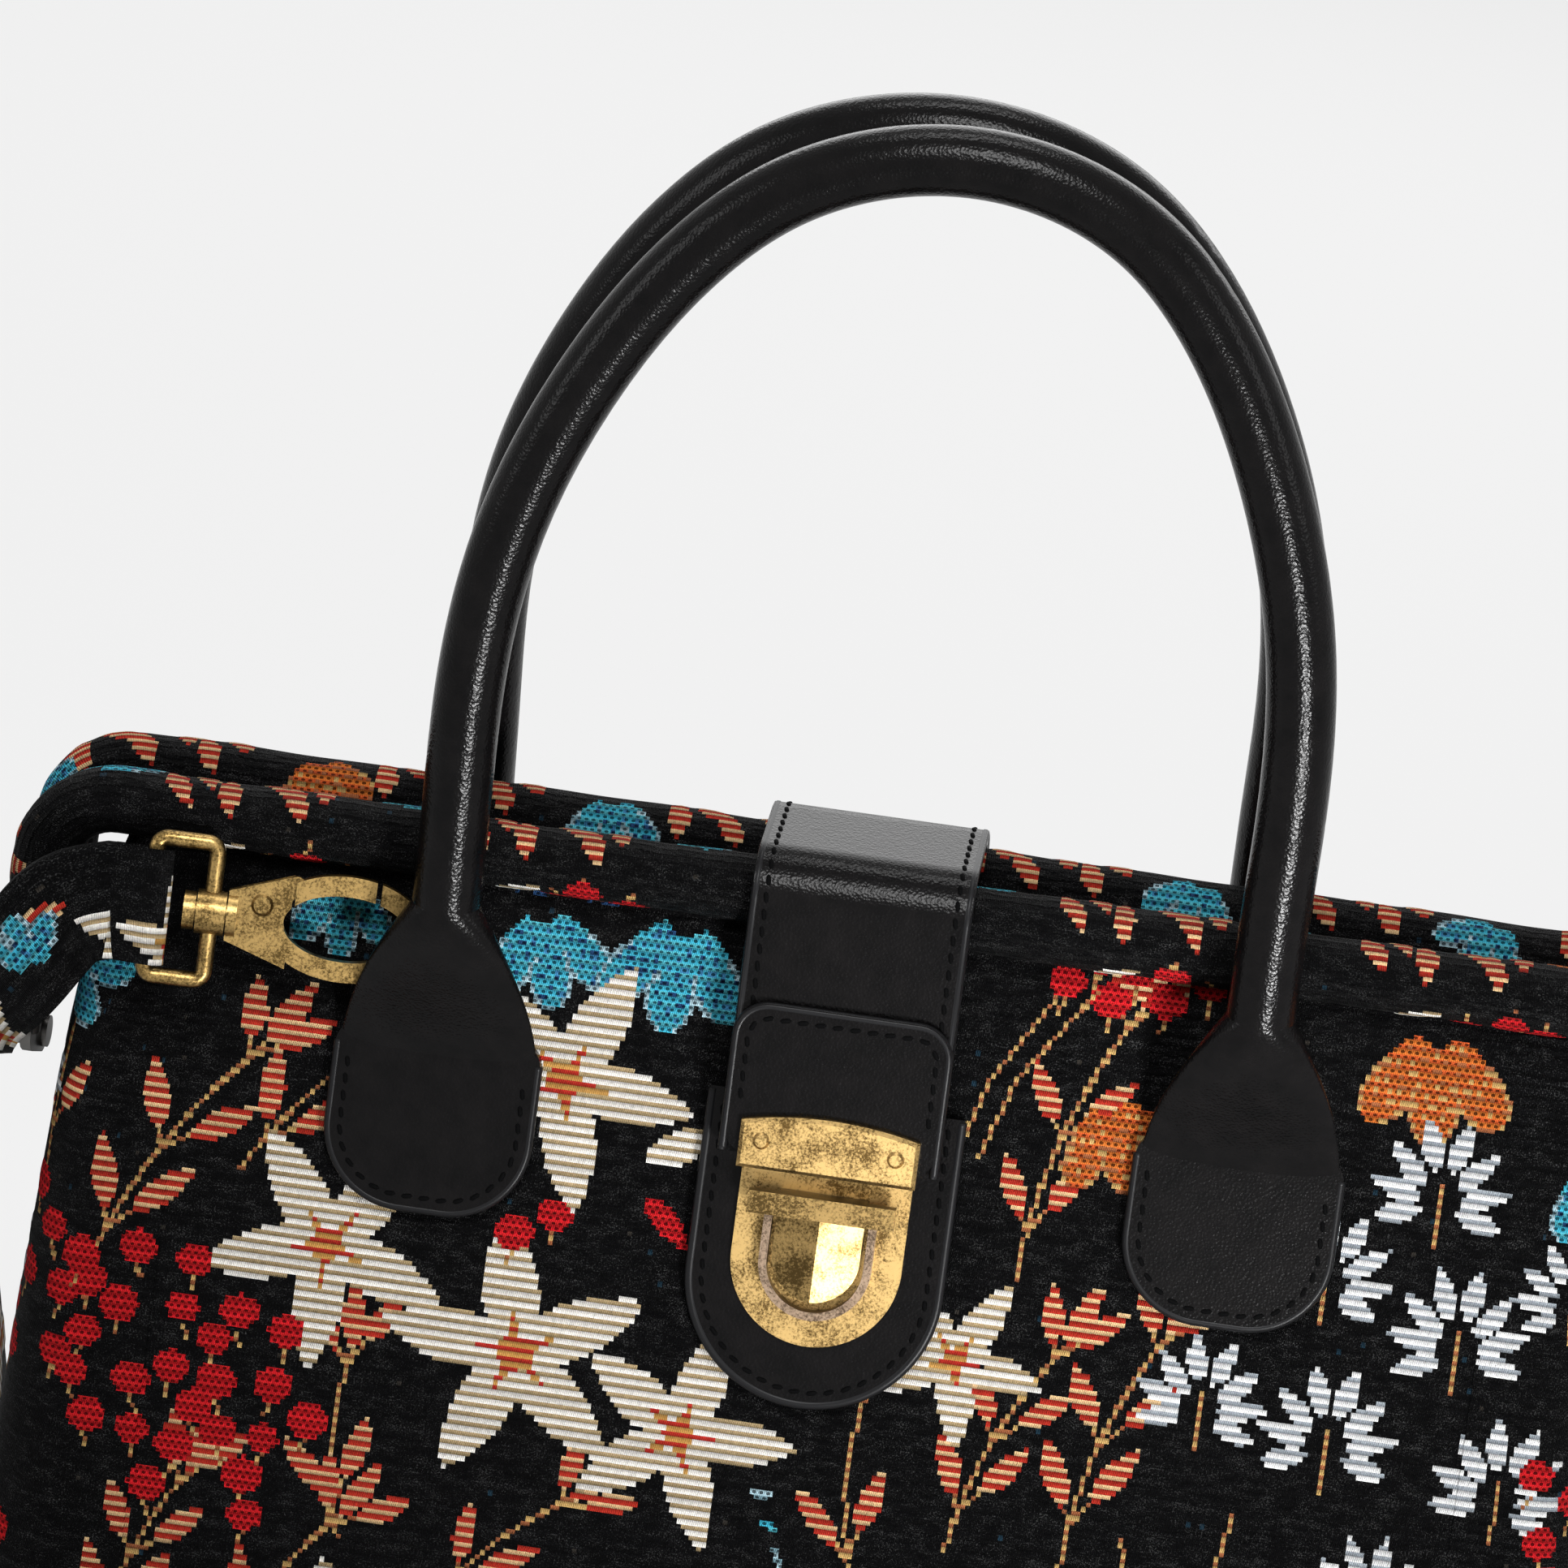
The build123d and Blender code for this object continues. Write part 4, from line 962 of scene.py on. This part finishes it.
def handle_line(shift, sway, lean):
    """A handle's centreline, as if on the front, and there the ways to the bag and into the arch."""
    rise = ARCH_HEIGHT - CROWN_R
    side_r = (HALF_SPAN**2 + rise**2 - CROWN_R**2) / (2 * (HALF_SPAN - CROWN_R))
    lap = side_r - HALF_SPAN
    full = math.atan2(rise, lap)
    half = [(HALF_SPAN, y) for y in np.linspace(6, HANDLE_LEG, 6)[:-1]]
    for a in np.linspace(0, full, 16)[:-1]:
        half.append((side_r * math.cos(a) - lap, HANDLE_LEG + side_r * math.sin(a)))
    for a in np.linspace(full, math.pi / 2, 16):
        half.append((CROWN_R * math.cos(a), HANDLE_LEG + rise + CROWN_R * math.sin(a)))
    path = np.array([(-x, y) for x, y in half] + half[-2::-1])
    top = HANDLE_LEG + ARCH_HEIGHT
    tilt = math.radians(lean)
    neck = on_front(0.0, NECK_DROP, NECK_OUT)
    x = path[:, 0] + shift + sway * (path[:, 1] / top) ** 2
    y, z = neck[1] + path[:, 1] * math.sin(tilt), neck[2] + path[:, 1] * math.cos(tilt)
    points = np.column_stack([x, y, z])
    inward = np.broadcast_to([0.0, math.cos(tilt), -math.sin(tilt)], points.shape)
    hollow = points.mean(0) - points
    hollow = unit(hollow - inward * np.sum(hollow * inward, 1)[:, None])
    return points, inward, hollow


front_arch, back_arch = (0.0, FRONT_SWAY, FRONT_LEAN), (BACK_SHIFT, BACK_SWAY, BACK_LEAN)
for name, arch, other in (("front", front_arch, False), ("back", back_arch, True)):
    points, inward, hollow = handle_line(*arch)
    lean_in = inward * 0.94 + hollow * 0.34
    seam = points + lean_in * (HANDLE_R + STITCH_LIFT)
    if other:
        seam, lean_in = half_turn(seam), half_turn(lean_in)
    sizes = {"pitch": 3.4, "length": 2.3, "width": 0.8, "height": 0.8}
    stitches(f"{name}_handle_stitches", [(seam, lean_in)], "bag", **sizes)

lock_seam = u_path(LOCK_TAB_WIDTH - 6.2, LOCK_TAB_TOP + 3.0, LOCK_TAB_DROP - 3.1, LOCK_TAB_CORNER)
stitches("lock_tab_stitches", [over_front(lock_seam, LOCK_TAB_THICK + SEW_GAP + STITCH_LIFT)], "bag")
lock_rim = u_path(LOCK_TAB_WIDTH - 1.2, LOCK_TAB_TOP + 0.6, LOCK_TAB_DROP - 0.6, LOCK_TAB_CORNER)
tube("lock_tab_edge", *over_front(lock_rim, LOCK_TAB_THICK - 0.7), 2.1, 2.0, "bag")

# Closure strap: its edge stitching follows it over the rolls, and the overlay has its own
TIP = on_front(0.0, TIP_DROP, TIP_OUT)
REACH = TIP[1:] - np.array([-BINDING_Y, BINDING_Z])
LEAVE = math.atan2(REACH[1], REACH[0]) % (2 * math.pi) - math.acos(STRAP_R / np.hypot(*REACH))


def strap_line(x, lift):
    """A path along the closure strap's outer face at x, back roll to tip, with its normals."""
    path, out = [], []
    back_turn = np.linspace(0.25, math.pi / 2, 14)
    front_turn = np.linspace(math.pi / 2, LEAVE, 20)
    r = STRAP_R + lift
    for middle_y, angles in ((BINDING_Y, back_turn), (-BINDING_Y, front_turn)):
        for a in angles:
            path.append((middle_y + r * math.cos(a), BINDING_Z + r * math.sin(a)))
            out.append((math.cos(a), math.sin(a)))
    end = np.array(out[-1])
    path.append(tuple(TIP[1:] + end * lift))
    out.append(tuple(end))
    points = np.array([(x, y, z) for y, z in path])
    normals = np.array([(0.0, y, z) for y, z in out])
    return points, normals


strap_face = STRAP_THICK / 2 + STITCH_LIFT
strap_seams = [strap_line(side * (STRAP_WIDTH / 2 - 3.0), strap_face) for side in (-1, 1)]
stitches("closure_stitches", strap_seams, "closure_flap")
for k, side in enumerate((-1, 1)):
    points, normals = strap_line(side * (STRAP_WIDTH / 2 - 0.7), STRAP_THICK / 2 - 0.75)
    tube(f"closure_edge_{k}", points, normals, EDGE_BEAD, EDGE_BEAD, "closure_flap")
STRAP_OUT = np.array([0.0, math.cos(LEAVE), math.sin(LEAVE)])
STRAP_UP = np.cross(STRAP_OUT, [1.0, 0.0, 0.0])


def over_strap(path, lift):
    """A path on the overlay's face: x across the strap, y up from its tip."""
    across, along = np.multiply.outer(path[:, 0], [1.0, 0, 0]), np.multiply.outer(path[:, 1], STRAP_UP)
    points = TIP + STRAP_OUT * lift + across + along
    return points, np.broadcast_to(STRAP_OUT, points.shape)


def arch_path(half, low, high, corner):
    """A path up one side, over rounded corners and down the other side."""
    return filleted([(-half, low), (-half, high), (half, high), (half, low)], corner)


OVERLAY_FACE = STRAP_THICK / 2 + SEW_GAP + OVERLAY_THICK
over_seam = arch_path(STRAP_WIDTH / 2 - 3.0, 11.0, OVERLAY_LENGTH - 3.0, 4.5)
stitches("overlay_stitches", [over_strap(over_seam, OVERLAY_FACE + STITCH_LIFT)], "closure_flap")
over_rim, _ = evenly(arch_path(STRAP_WIDTH / 2 - 0.6, 0.5, OVERLAY_LENGTH - 0.6, 6.5), EDGE_STEP)
tube("overlay_edge", *over_strap(over_rim, OVERLAY_FACE - 0.8), EDGE_BEAD, EDGE_BEAD, "closure_flap")

# Light, floor and camera
scene = bpy.context.scene
scene.view_settings.view_transform = "Standard"


def background_ray(tree):
    """One for rays that look at the pale background directly, in a mirror or through glass."""
    path = tree.nodes.new("ShaderNodeLightPath")
    total = math_node(tree, "ADD", path.outputs["Is Camera Ray"], path.outputs["Is Glossy Ray"])
    total = math_node(tree, "ADD", total, path.outputs["Is Transmission Ray"])
    return math_node(tree, "MINIMUM", total, 1.0)


AMBIENT = 0.05
world = bpy.data.worlds.new("studio")
world.use_nodes = True
tree = world.node_tree
add, times, _ = arithmetic(tree)
backdrop = tree.nodes["Background"]
backdrop.inputs["Color"].default_value = (0.871, 0.871, 0.871, 1)
tree.links.new(add(times(background_ray(tree), 1.0 - AMBIENT), AMBIENT), backdrop.inputs["Strength"])
scene.world = world


def area_light(name, place, target, size, power, spread=180):
    """A soft box aimed at a point, in metres, its light within a spread in degrees."""
    light = bpy.data.lights.new(name, "AREA")
    light.shape = "RECTANGLE"
    light.size, light.size_y = size
    light.energy = power
    light.spread = math.radians(spread)
    obj = bpy.data.objects.new(name, light)
    obj.location = place
    aim = Vector(target) - Vector(place)
    obj.rotation_euler = aim.to_track_quat("-Z", "Y").to_euler()
    scene.collection.objects.link(obj)


area_light("key", (0.03, -0.88, 1.30), (0, -0.03, 0.28), (0.42, 0.42), 15)
area_light("card", (0.20, -1.10, 0.36), (0.04, 0, 0.2), (0.46, 0.36), 0.10)
area_light("low", (0.34, -0.74, 0.09), (0.03, 0, 0.24), (0.16, 0.14), 0.7, spread=40)
area_light("left", (-1.15, -0.55, 0.75), (0, 0, 0.22), (0.30, 0.70), 4)
area_light("right", (1.15, -0.45, 0.75), (0, 0, 0.22), (0.30, 0.70), 3)
area_light("top", (-0.1, 0.30, 1.5), (0, 0, 0.26), (0.70, 0.20), 5)
area_light("back", (0.1, 1.5, 1.0), (0, 0, 0.2), (2.0, 1.2), 20)

# The floor is pale to the eye and darker to scattered light; its glow leaves the bag's shadow on it
FLOOR_REACH, FLOOR_DARK, FLOOR_PALE, FLOOR_GLOW, GLOW_SHARE = 6.0, 0.08, 0.80, 0.878, 0.85
floor_mesh = bpy.data.meshes.new("floor")
corners = [(x * FLOOR_REACH, y * FLOOR_REACH, 0) for x, y in ((-1, -1), (1, -1), (1, 1), (-1, 1))]
floor_mesh.from_pydata(corners, [], [[0, 1, 2, 3]])
floor = bpy.data.objects.new("floor", floor_mesh)
scene.collection.objects.link(floor)
pale, tree, bsdf = shader("floor")
add, times, _ = arithmetic(tree)
direct = background_ray(tree)
tree.links.new(add(times(direct, FLOOR_PALE - FLOOR_DARK), FLOOR_DARK), bsdf.inputs["Base Color"])
bsdf.inputs["Roughness"].default_value = 0.9
glow = add_node(tree, "ShaderNodeEmission", Strength=1.0)
glow.inputs["Color"].default_value = (FLOOR_GLOW, FLOOR_GLOW, FLOOR_GLOW, 1)
blend = tree.nodes.new("ShaderNodeMixShader")
tree.links.new(times(direct, GLOW_SHARE), blend.inputs["Fac"])
tree.links.new(bsdf.outputs["BSDF"], blend.inputs[1])
tree.links.new(glow.outputs["Emission"], blend.inputs[2])
tree.links.new(blend.outputs["Shader"], tree.nodes["Material Output"].inputs["Surface"])
floor_mesh.materials.append(pale)

camera_data = bpy.data.cameras.new("camera")
camera_data.sensor_width = 36.0
camera_data.lens = 148.3
camera_data.clip_end = 20.0
camera = bpy.data.objects.new("camera", camera_data)
scene.collection.objects.link(camera)
scene.camera = camera
right = Vector((0.9878, 0.1189, 0.1003))
up = Vector((-0.1375, 0.3653, 0.9207))
ahead = Vector((-0.0728, 0.9233, -0.3772))
turn = Matrix((right, up, -ahead)).transposed().to_4x4()
camera.matrix_world = Matrix.Translation((0.0769, -1.2284, 0.7515)) @ turn
